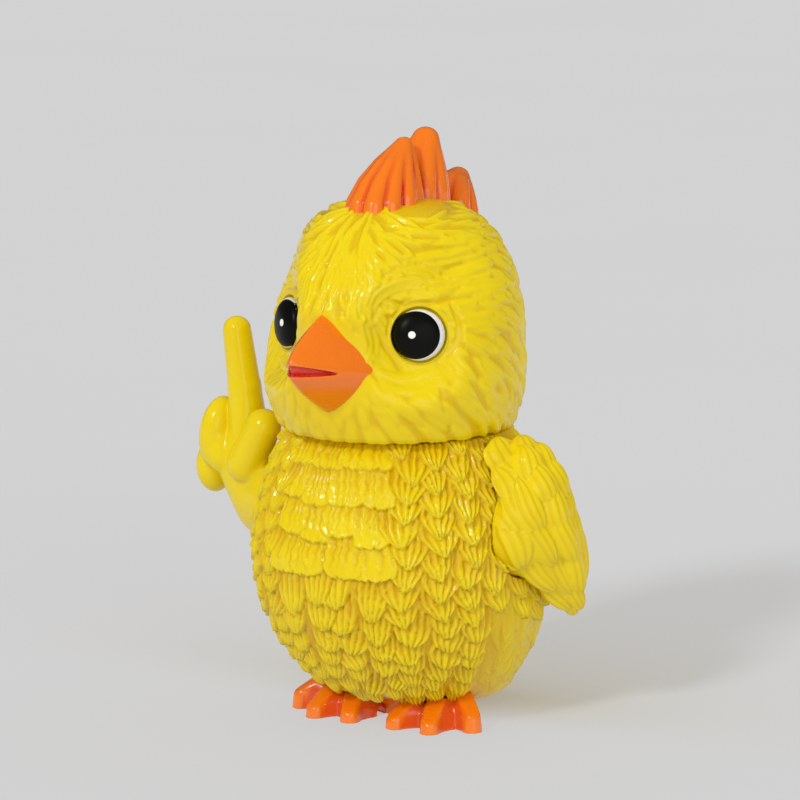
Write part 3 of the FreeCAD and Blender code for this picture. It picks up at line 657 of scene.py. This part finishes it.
# Single wrinkles of the face: width, height, and the angles and heights that they pass through.
WRINKLES = (
    (2.6, 1.5, ((1, 193), (3, 187), (2, 181), (4, 176))),
    (2.4, 1.3, ((6, 192), (8, 186), (7, 181), (9, 176))),
    (2.4, 1.2, ((11, 191), (13, 186), (12, 180), (13, 175))),
    (2.6, 1.2, ((17, 190), (18, 184), (16, 178), (17, 172))),
    (3.0, 1.5, ((20, 176), (22, 181), (28, 185), (37, 187), (46, 186), (54, 183))),
    (2.8, 1.4, ((22, 172), (24, 178), (30, 182), (38, 183.5), (46, 182.5), (53, 179))),
    (2.6, 1.2, ((24, 186), (31, 190), (41, 191.5), (52, 190), (61, 186))),
    (2.6, 1.3, ((19, 172), (22, 166), (22, 160), (19, 154))),
    (2.6, 1.1, ((23, 170), (25, 164), (25, 158))),
    (4.2, 1.5, ((24, 153), (31, 150.5), (40, 150), (49, 152))),
    (3.6, 1.1, ((28, 147), (36, 145), (45, 145.5), (54, 148.5))),
    (3.4, 0.4, ((54, 156), (60, 162), (63, 170), (60, 178))),
)
CHIN_CAP = 14          # rings that close the head's underside
HEAD_SINK = 1.2        # how far the skin between the locks lies inside the CAD surface


def crown_radius(height):
    share = (height - HEAD_HEIGHT) / (CROWN_RISE if height > HEAD_HEIGHT else CHIN_DROP)
    power = CROWN_POWER if height > HEAD_HEIGHT else 2.0
    return HEAD_RADIUS * max(1 - abs(share) ** power, 1e-4) ** (1 / power)


def head_ring(height, angle):
    radius = crown_radius(height)
    stretch = 1 + 0.045 * np.cos(angle) ** 2
    aside = (np.degrees(np.abs(angle)) - 56) / 25
    level = (height - 187) / (14 if height > 187 else 18)
    temple = 6.2 * np.exp(-aside ** 2 - level ** 2)
    radius = radius - temple + 1.3 * smooth_step(np.abs(angle), 1.5, 2.2)
    return np.stack([radius * np.sin(angle), HEAD_CENTRE_Y - radius * stretch * np.cos(angle),
                     np.full_like(angle, height)], -1)


def eye_frame(side):
    """An eye's base centre and its outward, sideways and upward directions."""
    word = WORDS[side]
    low, high = corners(f"{word}_pupil")
    turn, tilt = math.radians(37), math.radians(6)
    outward = np.array([side * math.sin(turn) * math.cos(tilt), -math.cos(turn) * math.cos(tilt),
                        math.sin(tilt)])
    aside = np.array([side * math.cos(turn), math.sin(turn), 0.0])
    centre = np.array([side * 29.2, -37.1, (low[2] + high[2]) / 2 - 0.75]) + 1.2 * aside
    return centre, outward, aside, np.cross(outward, aside) * side


def eye_place(points, centre, outward):
    """How high points lie over an eye's base and how far from its middle line."""
    offset = points - centre
    height = offset @ outward
    return height, np.linalg.norm(offset - height[..., None] * outward, axis=-1)


def bulge(points, centre, spread, height):
    """Height of a soft swelling round a point."""
    gap = (points - np.asarray(centre, float)) / np.asarray(spread, float)
    return height * np.exp(-(gap ** 2).sum(-1) / 2)


def shape_face(points, normals):
    """Brows, cheeks, the beak's root and the flats round the eyes."""
    swell = bulge(points, (0, -58, 172), (13, 30, 10), 4.0)
    swell += bulge(points, (0, -58, 152), (15, 30, 17), 1.2)
    for side in (1, -1):
        swell += bulge(points, (side * 33, -44, 144), (15, 20, 9), 2.6)
        swell += bulge(points, (side * 24, -50, 184), (14, 20, 5), 1.2)
        swell += bulge(points, (side * 17.5, -51, 162), (2.2, 20, 9), 1.3)
    points = points + normals * swell[..., None]
    for side in (1, -1):
        centre, outward, _, _ = eye_frame(side)
        height, radius = eye_place(points, centre, outward)
        rim = 1.1 * np.exp(-((radius - 11.5) / 0.9) ** 2)
        target = 0.5 + rim - 1.6 * smooth_step(radius, 10.6, 9.8)
        keep = smooth_step(radius, 12.2, 31)
        level = height * keep + target * (1 - keep)
        level = np.where((height > -25) & (radius < 31), np.minimum(height, level), height)
        points = points + (level - height)[..., None] * outward
    return points


def lay_plumage(skin):
    """Locks that follow the plumage table, with the face left nearly smooth."""
    table = np.array(PLUMAGE, float)
    table = np.vstack([table, table * (-1, 1, -1, 1, 1, 1)])
    locks = []
    height = HEAD_LOW[2] + 2
    while height < HEAD_HIGH[2] - 1:
        radius = max(crown_radius(height), 6)
        angle = rng.uniform(0, 0.1)
        while angle < 2 * np.pi:
            here = wrap(angle)
            apart = wrap(here - np.radians(table[:, 0])) * 45
            weight = np.exp(-(apart ** 2 + (height - table[:, 1]) ** 2) / (2 * 10.0 ** 2)) + 1e-12
            heading = np.radians(table[:, 2])
            way = math.atan2(weight @ np.sin(heading), weight @ np.cos(heading))
            width, reach, lift = (weight @ table[:, 3:]) / weight.sum()
            locks.append((here, height + rng.normal(0, 1.2), way, width, reach, lift))
            angle += max(width * reach * 0.12, width * 0.8) / radius * rng.uniform(0.7, 1.3)
        height += 3.2
    for index in rng.permutation(len(locks)):
        here, height, way, width, reach, lift = locks[index]
        way += rng.normal(0, 0.09)
        bend = rng.normal(0, 0.004)
        width *= rng.uniform(0.85, 1.2)
        tip = float(smooth_step(abs(here), 1.2, 1.8))
        skin.paint(here, height, reach * 0.62,
                   stroke(width, reach * rng.uniform(0.8, 1.15), 1.6 * lift, way, bend, tip))
    for side in (1, -1):
        for width, lift, course in WRINKLES:
            angles = side * np.radians([angle for angle, _ in course])
            skin.trace(angles, np.array([height for _, height in course]), width, lift)
    skin.soften(2)


def calm_face(points):
    """How much relief each point keeps: little by the eyes, the beak and the lips' corners."""
    keep = np.ones(points.shape[:-1])
    for side in (1, -1):
        centre, outward, _, _ = eye_frame(side)
        height, radius = eye_place(points, centre, outward)
        keep *= np.maximum(smooth_step(radius, 11.8, 13.8), height < -25)
    gap = (points - np.array([0, -58, 153])) / np.array([20, 18, 21])
    keep *= smooth_step(np.linalg.norm(gap, axis=-1), 0.8, 1.1)
    return keep


def make_head():
    low, high = HEAD_LOW[2], HEAD_HEIGHT + CROWN_RISE * 0.9985
    heights = even_heights(low, high, head_ring, FINE)
    skin = Skin(heights, crown_radius, head_ring, COLUMNS)
    lay_plumage(skin)
    normals = ring_normals(skin.rings)
    keep = calm_face(skin.rings)
    relief = skin.relief * keep
    rings = shape_face(skin.rings, normals)
    rings = rings + ring_normals(rings) * (relief - HEAD_SINK)[..., None]
    under = smooth_step(heights, low + 2.5, low)[:, None]
    centre = np.array([0, HEAD_CENTRE_Y])
    rings[..., :2] = centre + (rings[..., :2] - centre) * (1 - 0.012 * under[..., None] ** 2)
    rings[..., 2] = np.maximum(rings[..., 2], low + 0.05)
    rings = np.concatenate([end_cap(rings[0], CHIN_CAP, -1), rings])
    points, faces = closed_rings(rings)
    hollow = np.zeros(rings.shape[:2])
    # Painted shade: the colour deepens between the locks, and little on the calm face.
    hollow[CHIN_CAP:] = np.clip(0.65 - skin.relief, 0, 1) * 0.8 * keep
    hollow = np.concatenate([hollow.ravel(), [0, 0]])
    make_piece("feathered_head", points, faces, "head", "head_shell", "yellow_skin", YELLOW,
               hollow=hollow)


# ---- eyes --------------------------------------------------------------------------------

WHITE_RADIUS, BLACK_RADIUS = 10.2, 9.5
EYE_DOME = 4.5         # height of the eyes' domes
BLACK_SHIFT = 1.5      # how far the pupils sit towards the beak


def disc_mesh(side, centre, radius, lift, under):
    """A shallow disc in an eye's axes: a top whose height follows `lift` and a side wall."""
    _, outward, aside, upward = eye_frame(side)
    angle = np.linspace(0, 2 * np.pi, 96, endpoint=False)
    shares = np.array([0.02, *np.linspace(0.08, 1, 34)])[:, None]
    x, y = radius * shares * np.cos(angle), radius * shares * np.sin(angle)
    top = centre + x[..., None] * aside + y[..., None] * upward + lift(x, y)[..., None] * outward
    wall = [top[-1] - outward * depth for depth in np.linspace(0, under, 4)[1:]]
    points, faces = closed_rings(np.vstack([top, wall]))
    return points, faces[:, ::-side]


def make_eye(side):
    word = WORDS[side]
    centre, outward, aside, upward = eye_frame(side)

    def white_top(x, y):
        share = np.hypot(x, y) / (WHITE_RADIUS + 0.15)
        return EYE_DOME * np.sqrt(np.maximum(1 - share ** 2.3, 0))

    def black_top(x, y):
        rim = np.hypot(x, y) / BLACK_RADIUS
        return white_top(x - BLACK_SHIFT, y) + 0.3 * np.sqrt(np.maximum(1 - rim ** 10, 0.01))

    points, faces = disc_mesh(side, centre, WHITE_RADIUS, white_top, 2.5)
    make_piece(f"{word}_eye_dome", points, faces, "head", f"{word}_eye", "eye_white", WHITE)
    middle = centre - aside * BLACK_SHIFT
    points, faces = disc_mesh(side, middle, BLACK_RADIUS, black_top, 3.0)
    spot = middle - aside * 1.9 + upward * 0.3
    dot = smooth_step(eye_place(points, spot, outward)[1], 1.7, 1.2)
    make_piece(f"{word}_pupil_inlay", points + outward * (0.12 * dot)[:, None], faces, "head",
               f"{word}_pupil", "eye_black", BLACK, paint=dot)


# ---- beak --------------------------------------------------------------------------------

BEAK_BACK = 46.0       # where the bills end inside the head, as distance forward
BEAK_ROOT, BEAK_TIP = 52.0, 85.2      # how far forward their taper starts and ends
SLIT_ROOT = 67.0       # where the slit between the bills starts


def slit_distance(points):
    """How far a point is outside the wedge-shaped slit between the bills."""
    front = -points[:, 1]
    opening = 2.2 * np.clip((front - SLIT_ROOT) / 17, 0, 1.1) ** 0.7
    line = 152.6 + 0.145 * (front - SLIT_ROOT)
    return np.abs(points[:, 2] - line) - opening


def beak_field(points):
    front = -points[:, 1]
    share = np.clip((front - BEAK_ROOT) / (BEAK_TIP - BEAK_ROOT), 0, 1.2)
    inside = np.clip(1 - share, 0, 1)
    middle = 151.4 + 5.0 * share
    top = 24.4 * inside ** 0.66 + 0.6
    bottom = 17.6 * inside ** 0.6 + 0.6
    half = 17.3 * inside ** 0.76 + 0.7
    up = points[:, 2] - middle
    tall = np.where(up > 0, top, bottom)
    wide = np.sqrt((points[:, 0] / half) ** 2 + 0.003)
    high = np.sqrt((up / tall) ** 2 + 0.004)
    power = np.where(up > 0, 1.25, 1.45)
    size = (wide ** power + high ** power) ** (1 / power) - 0.05
    body = (size - 1) * np.minimum(half, tall) * 0.8
    core = np.maximum(body + 2.0, front - 82.0)
    body = trim(body, front - 85.0, 2.0)
    slit = np.maximum(slit_distance(points), SLIT_ROOT - front)
    body = -join(-body, np.maximum(slit, -core), 0.6)
    return np.maximum(body, BEAK_BACK - front)


def make_beak():
    points, faces = field_surface(beak_field, (-22, -87, 128), (22, -44.5, 182), SHARP)
    paint = smooth_step(slit_distance(points), 0.25, -0.05) * (points[:, 1] < -SLIT_ROOT - 0.5)
    make_piece("beak_bills", points, faces, "head", "beak", "orange_skin", ORANGE, paint=paint)


# ---- comb --------------------------------------------------------------------------------

# The comb's lobes: the tip as sideways, forward and height with its radius, how far the ribs
# rise before they lean over, and the rib feet as sideways, forward and height.
COMB_LOBES = (
    ((0.5, -2.0, 235.6), 2.5, 15.0,
     ((-8.8, 21.5, 206), (-4.5, 25.5, 206), (2.5, 26, 206), (7.5, 20.5, 206), (-9.5, 12, 208),
      (9.5, 11.5, 208), (-6, 1, 210), (7, 1, 210))),
    ((0.5, -19.5, 235.4), 5.4, 14.0,
     ((-6.5, -8, 209), (0, -5, 210), (7, -8, 209), (8.5, -15.5, 208), (-7, -16, 208),
      (5.5, -22.5, 206), (-5, -22.5, 206))),
    ((0.0, -46.8, 216.6), 4.8, 10.0,
     ((-6, -32, 205), (1, -30, 206), (8, -34, 204), (8, -41.5, 198.5), (-6.5, -40, 199),
      (0.5, -42, 197))),
)
RIB_RADIUS = 4.8
RIB_PIECES = 4
RIB_SPREAD = 0.09      # share of their spacing at the foot that the ribs keep at the tip


def rib_field(points, foot, tip, tip_radius, rise, middle):
    """A tapering rib that rises from its foot and then leans over to the tip."""
    foot = np.array(foot, float)
    tip = np.array(tip, float) + RIB_SPREAD * (foot - middle) * (1, 1, 0)
    bend = foot + (0, 0.5, rise)
    share = np.linspace(0, 1, RIB_PIECES + 1)[:, None]
    course = (1 - share) ** 2 * foot + 2 * share * (1 - share) * bend + share ** 2 * tip
    course[:, 1] *= -1
    radii = RIB_RADIUS + (0.86 * tip_radius - RIB_RADIUS) * share[:, 0]
    pieces = [round_cone(points, course[k], course[k + 1], radii[k], radii[k + 1])
              for k in range(RIB_PIECES)]
    return np.minimum.reduce(pieces)


def comb_field(points):
    lobes = []
    for tip, tip_radius, rise, feet in COMB_LOBES:
        middle = np.mean(feet, 0)
        ribs = [rib_field(points, foot, tip, tip_radius, rise, middle) for foot in feet]
        core = round_cone(points, (0, -middle[1], middle[2]), (tip[0], -tip[1], tip[2] - 4),
                          8.5, tip_radius - 1.2)
        lobes.append(join(join_all(ribs, 0.9), core, 0.8))
    return join_all(lobes, 0.9)


GROOVE_REACH = 1.6      # how far out the shell lies that finds the grooves


def groove_shade(points, field):
    """Painted shade in a surface's grooves: deeper colour where a shell round it lies nearer than
    it should.
    """
    shell = points + GROOVE_REACH * field_normals(field, points, 0.3)
    return np.clip(1 - field(shell) / GROOVE_REACH, 0, 1)


def make_comb():
    points, faces = field_surface(comb_field, (-15.5, -33, 182), (16, 59, 241), FINE)
    # The comb's second colour is painted shade in its grooves.
    make_piece("flame_comb", points, faces, "head", "comb", "orange_skin", ORANGE,
               paint=PAINT_LOW + 0.4 * groove_shade(points, comb_field))


# ---- limbs -------------------------------------------------------------------------------

def swept_half_widths():
    """The torso's and head's half width round a shoulder's axis, at its widest in a swing."""
    reach = np.arange(0.0, 60.0, REACH_STEP)[:, None]
    angle = np.radians(np.arange(-180, 180))
    y = reach * np.sin(angle)
    z = SHOULDER_HEIGHT + reach * np.cos(angle)
    levels = np.linspace(20, 146, 505)
    on_head = levels > TORSO_HIGH[2] - 0.5
    widths = np.array([crown_radius(level) if high else belly_radius(level)
                       for level, high in zip(levels, on_head)])
    middles = np.where(on_head, HEAD_CENTRE_Y, belly_middle(levels))
    radius, middle = np.interp(z, levels, widths), np.interp(z, levels, middles)
    half = np.sqrt(np.maximum(radius ** 2 - (y - middle) ** 2, 0))
    return np.max([np.roll(half, shift, 1) for shift in range(-SWING, SWING + 1, 3)], axis=0)


REACH_STEP = 0.5
SWING = 45             # degrees that a limb swings either way
CLEARANCE = 1.5        # beyond the torso's smooth shape, to clear its relief as well
SWEPT = swept_half_widths()


def inner_limit(points):
    """How near to the middle plane a limb may come and still swing clear of the torso."""
    y, z = points[:, 1], points[:, 2] - SHOULDER_HEIGHT
    radius = np.hypot(y, z)
    row = np.clip(radius / REACH_STEP, 0, len(SWEPT) - 1.001)
    column = np.degrees(np.arctan2(y, z)) + 180
    low_row, low_column = row.astype(int), np.floor(column).astype(int)
    down, across = row - low_row, column - low_column
    first, second = low_column % 360, (low_column + 1) % 360
    inner = SWEPT[low_row, first] * (1 - across) + SWEPT[low_row, second] * across
    outer = SWEPT[low_row + 1, first] * (1 - across) + SWEPT[low_row + 1, second] * across
    free = inner * (1 - down) + outer * down + CLEARANCE
    outside = smooth_step(radius, LIMB_ROOT - 0.1, LIMB_ROOT + 0.5)
    return (SHOULDER_FLOOR + 0.4) * (1 - outside) + free * outside


def limb_field(points, side, shape):
    """A limb's shape joined to its root disc and cut back from the torso."""
    away = side * points[:, 0]
    dome = ellipsoid(points, (side * SHOULDER_FLOOR, 0, SHOULDER_HEIGHT),
                     (15.0, LIMB_ROOT + 0.2, LIMB_ROOT + 0.2))
    return trim(join(dome, shape(points), 4.0), inner_limit(points) - away, 0.5)


def hand_shape(points):
    arm = join(ellipsoid(points, (-62, 0, 85), (15.5, 16.0, 17.5)),
               ellipsoid(points, (-74.0, -1, 99), (11.8, 12, 17), (0, -15, 0)), 8.0)
    finger = join(round_cone(points, (-70.5, -3, 108), (-72.8, -3, 130), 8.8, 6.9),
                  round_cone(points, (-72.8, -3, 130), (-76.4, -3, 153.9), 6.9, 5.9), 1.0)
    fold_one = join(ellipsoid(points, (-84.8, -4, 110.5), (7.6, 10.0, 15.4), (0, 9, 0)),
                    ellipsoid(points, (-80.5, -7.5, 102), (6.0, 6.5, 8)), 4.0)
    fold_two = ellipsoid(points, (-90.2, 1, 95.2), (7.2, 9.5, 11.2), (0, -4, 0))
    thumb = round_cone(points, (-66.5, -12.0, 100), (-57.2, -13.3, 116.8), 8.0, 7.4)
    hand = join(arm, finger, 2.4)
    hand = join(hand, fold_two, 1.4)
    hand = join(hand, fold_one, 1.2)
    return join(hand, thumb, 1.6)


def make_right_arm():
    points, faces = field_surface(lambda p: limb_field(p, -1, hand_shape),
                                  (-103, -26, 60), (-44, 26, 162), SMOOTH)
    make_piece("raised_arm", points, faces, "right_arm", "right_arm", "yellow_skin", YELLOW,
               hollow=np.zeros(len(points)))


# Feathers of the wing: middle, half thickness, half width and half length, then the turns
# about X (tips swing back), Y (tips swing out) and Z (which way a feather faces).
WING_FEATHERS = (
    ((51, -8, 114), (4.5, 10, 8), (0, -20, -14)), ((56, 3, 114.5), (5, 9, 7), (0, -20, 0)),
    ((61, -2, 109), (6, 7.5, 10), (10, -18, -20)), ((61, 9, 108), (6, 8, 10), (0, -15, 10)),
    ((55.5, -12, 102), (5, 8, 10), (20, -15, -28)), ((66, -1, 102), (6, 7.5, 11), (15, -18, -15)),
    ((66, 10, 101), (6, 8, 11), (8, -15, 10)), ((58.5, -12.5, 92), (5, 7.5, 12), (22, -12, -35)),
    ((64, -8, 95), (5.5, 7, 12), (20, -15, -30)), ((70, 2, 93), (5.5, 7.5, 12), (15, -15, -10)),
    ((68, 13, 92), (5.5, 8, 12), (5, -12, 15)), ((59, -12.5, 80), (6.5, 9, 11), (25, -10, -45)),
    ((67, -4, 83), (5, 6.5, 14), (28, -10, -25)), ((73, 5, 82), (5, 6.5, 14), (22, -10, -5)),
    ((71, 15, 81), (5, 7, 14), (8, -10, 15)), ((64, -3, 69), (4.5, 6, 14), (44, -8, -30)),
    ((69, 5, 69), (4.5, 5.5, 15), (34, -8, -20)), ((74, 11, 69), (4.5, 5.5, 14), (22, -6, 0)),
    ((72, 19, 72), (4.5, 6, 14), (8, -6, 15)), ((67, 9.5, 57), (4, 5, 11), (45, -4, -25)),
    ((72, 14, 59), (4, 5, 12), (30, -4, -10)), ((70, 17, 53), (3.8, 4.5, 8), (25, 0, 0)),
)
WING_BASE = (
    ((57, 0, 98), (9.5, 17, 19), (0, -12, 0)), ((61, 3, 82), (9.5, 16, 18), (15, -12, 0)),
    ((66, 11, 66), (6.5, 10, 18), (34, -8, 0)),
)
WING_STRANDS = 4


def wing_shape(points):
    base = join_all([ellipsoid(points, *swelling) for swelling in WING_BASE], 7.0)
    feathers = join_all([ellipsoid(points, *feather) for feather in WING_FEATHERS], 0.6)
    return join(base, feathers, 2.0)


def comb_feathers(points, field):
    """Cut strands into each feather of the wing along its length."""
    each = np.stack([ellipsoid(points, *feather) for feather in WING_FEATHERS])
    owner = each.argmin(0)
    depth = np.zeros(len(points))
    for number, (centre, half, turns) in enumerate(WING_FEATHERS):
        mine = owner == number
        local = turned(points[mine], centre, turns)
        length = np.clip(local[:, 2] / half[2], -0.97, 0.97)
        side = local[:, 1] / (half[1] * np.sqrt(1 - length ** 2) ** 0.8)
        bent = side + 0.12 * np.sin(2.2 * length + number)
        ridge = np.abs(np.cos(np.pi * WING_STRANDS * bent / 2)) ** 1.1
        fade = smooth_step(np.abs(side), 1.0, 0.8) * smooth_step(local[:, 0], 0, 1.5)
        depth[mine] = 0.6 * (1 - ridge) * fade
    return points - field_normals(field, points, FINE / 2) * depth[:, None], depth


def make_left_wing():
    def field(p):
        return limb_field(p, 1, wing_shape)

    points, faces = field_surface(field, (44, -30, 40), (86, 36, 123), FINE)
    points, depth = comb_feathers(points, field)
    # Painted shade deepens the colour in the grooves between the feathers' strands.
    make_piece("hanging_wing", points, faces, "left_wing", "left_wing", "yellow_skin", YELLOW,
               hollow=np.clip(0.5 * depth, 0, 1))


# ---- feet --------------------------------------------------------------------------------

TOES = ((35.3, -17.0), (35.0, 13.0), (31.8, 47.0))    # length and outward turn in degrees
HEEL = (20.0, 8.0)                                    # sideways and rearward place
TOE_TOP = 3.3                                         # half width of a toe's flat top
TOE_HEIGHT, TOE_BEND = 14.5, 18.5                     # its height, and where it starts to fall
OUTER_TURN = 40.0                                     # the outer toe turns further than this


def toe_frame(points, side, turn):
    """How far points lie along, across and above a toe that starts at the heel."""
    angle = math.radians(turn)
    ahead = np.array([side * math.sin(angle), -math.cos(angle), 0])
    aside = np.array([math.cos(angle) * side, math.sin(angle), 0])
    local = points - np.array([side * HEEL[0], HEEL[1], 0])
    return local @ ahead, local @ aside, local[:, 2]


def toe_field(points, side, reach, turn):
    """A toe with a flat top that slopes to a rounded nose, and sides that spread into webs."""
    along, outwards, up = toe_frame(points, side, turn)
    across = np.abs(outwards)
    top = TOE_HEIGHT - 0.62 * np.maximum(along - TOE_BEND, 0)
    nose = reach - 3.8
    ahead, behind = np.maximum(along - nose, 0), np.maximum(nose - along, 0)
    field = (up - top) / 1.15
    for face in ((across + 0.62 * up - TOE_TOP - 0.62 * top) / 1.25,
                 np.hypot(across, ahead) + 0.1 * up - 4.1 - 0.12 * behind - 0.04 * behind ** 2,
                 -along):
        field = trim(field, face, 1.1)
    if turn < OUTER_TURN:
        root = np.maximum.reduce([across + 0.2 * up - 8, (along + 0.9 * up - 24) / 1.35, up - 14,
                                  -along])
        field = join(field, root, 1.0)
    else:
        field = trim(field, outwards + 0.15 * up - 4.9, 1.1)
    return np.maximum(field, -up)


def foot_field(points, side):
    toes = [toe_field(points, side, reach, turn) for reach, turn in TOES]
    heel = round_cone(points, (side * HEEL[0], HEEL[1], 4), (side * (HEEL[0] - 3), 12, 4), 8, 7)
    whole = join_all(toes + [np.maximum(heel, -points[:, 2])], 0.9)
    levels = np.linspace(0, 20, 41)
    belly = np.interp(points[:, 2], levels, [belly_radius(level) for level in levels])
    from_axis = np.hypot(points[:, 0], points[:, 1] - belly_middle(points[:, 2]))
    gap = belly - TORSO_DEPTH - 0.5 - from_axis
    gap = np.where(points[:, 2] < TORSO_LOW[2], points[:, 2] - TORSO_LOW[2], gap)
    whole = np.maximum(whole, gap)
    plate = np.hypot(points[:, 0], points[:, 1] - REAR_LEAN) - 17.7
    return np.maximum(np.maximum(whole, -plate), -points[:, 2])


def toe_side_shade(points, side):
    """Painted shade: 1 on the toes' sloping sides and webs, 0 on their flat tops."""
    side_face = np.ones(len(points))
    for _, turn in TOES:
        along, across, _ = toe_frame(points, side, turn)
        on_top = smooth_step(np.abs(across), TOE_TOP + 0.9, TOE_TOP + 0.2) * (along > 12)
        side_face = np.minimum(side_face, 1 - on_top)
    return side_face


def make_foot(side):
    word = WORDS[side]
    low_x, high_x = sorted((side * 5.0, side * 50.0))
    points, faces = field_surface(lambda p: foot_field(p, side), (low_x, -30, -1),
                                  (high_x, 24, 16), SHARP)
    # The toes' sides and webs take part of the second colour as painted shade.
    make_piece(f"{word}_toes", points, faces, "torso", f"{word}_foot", "orange_skin", ORANGE,
               paint=PAINT_LOW + 0.12 * toe_side_shade(points, side))


# ---- parts carried over from the CAD model -----------------------------------------------

def finish_cad_parts():
    finishes = {
        "sole_plate": ORANGE, "squeaker_cup": PLASTIC, "squeaker_cap": PLASTIC,
        "squeaker_reed": BRASS, "push_on_washers": PLASTIC, "neck_spool": PLASTIC,
        "right_shoulder_spool": PLASTIC, "left_shoulder_spool": PLASTIC,
    }
    for name, material in finishes.items():
        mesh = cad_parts[name].data
        mesh.materials.clear()
        mesh.materials.append(material)


# ---- stage -------------------------------------------------------------------------------

CAMERA_AZIMUTH, CAMERA_ELEVATION = 30.5, 10.46    # degrees
CAMERA_DISTANCE, AIM_HEIGHT = 1.828, 0.120
LENS, LENS_SHIFT = 202.3, 0.0331
# Each soft light: name, power, width, azimuth and elevation in degrees.
SUNS = (("key", 0.95, 10, -4, 33), ("fill", 0.7, 50, 52, 4))
FLOOR_HALF = 30.0
ROOM_LIGHT = 0.80      # strength of the even light all round
MIRRORED_LIGHT = 0.10  # how bright the room looks in glossy skins
BACKDROP = 0.645       # how bright it looks to the camera: the floor's own tone


def direction(azimuth, elevation):
    """Towards a viewer at an azimuth from straight ahead and an elevation, in degrees."""
    azimuth, elevation = math.radians(azimuth), math.radians(elevation)
    return Vector((math.sin(azimuth) * math.cos(elevation),
                   -math.cos(azimuth) * math.cos(elevation), math.sin(elevation)))


def make_floor():
    """A pale floor whose tone in front of and behind the figure matches the backdrop."""
    mesh = bpy.data.meshes.new("floor")
    mesh.from_pydata([(FLOOR_HALF * x, FLOOR_HALF * y, 0)
                      for x, y in ((-1, -1), (1, -1), (1, 1), (-1, 1))], [], [(0, 1, 2, 3)])
    nodes = Nodes("studio_floor")
    place = nodes.add("ShaderNodeTexCoord").outputs["Object"]
    ahead = nodes.add("ShaderNodeSeparateXYZ", {"Vector": place}).outputs["Y"]
    behind = nodes.spread(ahead, 0, 1, 0.005, 0.05)
    tone = nodes.mix(behind, (0.12, 0.12, 0.12, 1), (0.56, 0.60, 0.66, 1))
    tone = nodes.mix(nodes.spread(nodes.noise(3.0), 0, 0.01), tone, (0, 0, 0, 1))
    glow = nodes.mix(behind, (0.523, 0.523, 0.523, 1), (0.092, 0.053, 0.0, 1))
    mesh.materials.append(nodes.shade(Base_Color=tone, Roughness=0.9, Specular_IOR_Level=0.0,
                                      Emission_Color=glow, Emission_Strength=1.0))
    add_object("floor", mesh)


def light_room():
    """Even light from all round, which skins mirror dimly, and two soft suns."""
    world = bpy.data.worlds.new("studio")
    bpy.context.scene.world = world
    world.use_nodes = True
    tree = world.node_tree
    rays = tree.nodes.new("ShaderNodeLightPath")
    shader = None
    for kind, strength in ((None, ROOM_LIGHT), ("Is Glossy Ray", MIRRORED_LIGHT),
                           ("Is Camera Ray", BACKDROP)):
        light = tree.nodes.new("ShaderNodeBackground")
        light.inputs["Color"].default_value = (1, 1, 1, 1)
        light.inputs["Strength"].default_value = strength
        below, shader = shader, light.outputs["Background"]
        if kind:
            choice = tree.nodes.new("ShaderNodeMixShader")
            tree.links.new(rays.outputs[kind], choice.inputs["Fac"])
            tree.links.new(below, choice.inputs[1])
            tree.links.new(shader, choice.inputs[2])
            shader = choice.outputs["Shader"]
    tree.links.new(shader, tree.nodes["World Output"].inputs["Surface"])

    for name, power, spread, azimuth, elevation in SUNS:
        sun = bpy.data.lights.new(name, "SUN")
        sun.energy, sun.angle = power, math.radians(spread)
        way = direction(azimuth, elevation)
        add_object(name, sun).rotation_euler = way.to_track_quat("Z", "Y").to_euler()


def aim_camera():
    camera = add_object("camera", bpy.data.cameras.new("camera"))
    camera.data.lens, camera.data.sensor_width = LENS, 36.0
    camera.data.shift_y = LENS_SHIFT
    camera.data.clip_start, camera.data.clip_end = 0.05, 100.0
    towards = direction(CAMERA_AZIMUTH, CAMERA_ELEVATION)
    camera.location = Vector((0, 0, AIM_HEIGHT)) + towards * CAMERA_DISTANCE
    camera.rotation_euler = towards.to_track_quat("Z", "Y").to_euler()
    bpy.context.scene.camera = camera
    bpy.context.scene.view_settings.view_transform = "Standard"


make_torso()
make_head()
make_beak()
make_comb()
for side in (1, -1):
    make_eye(side)
    make_foot(side)
make_right_arm()
make_left_wing()
finish_cad_parts()
make_floor()
light_room()
aim_camera()
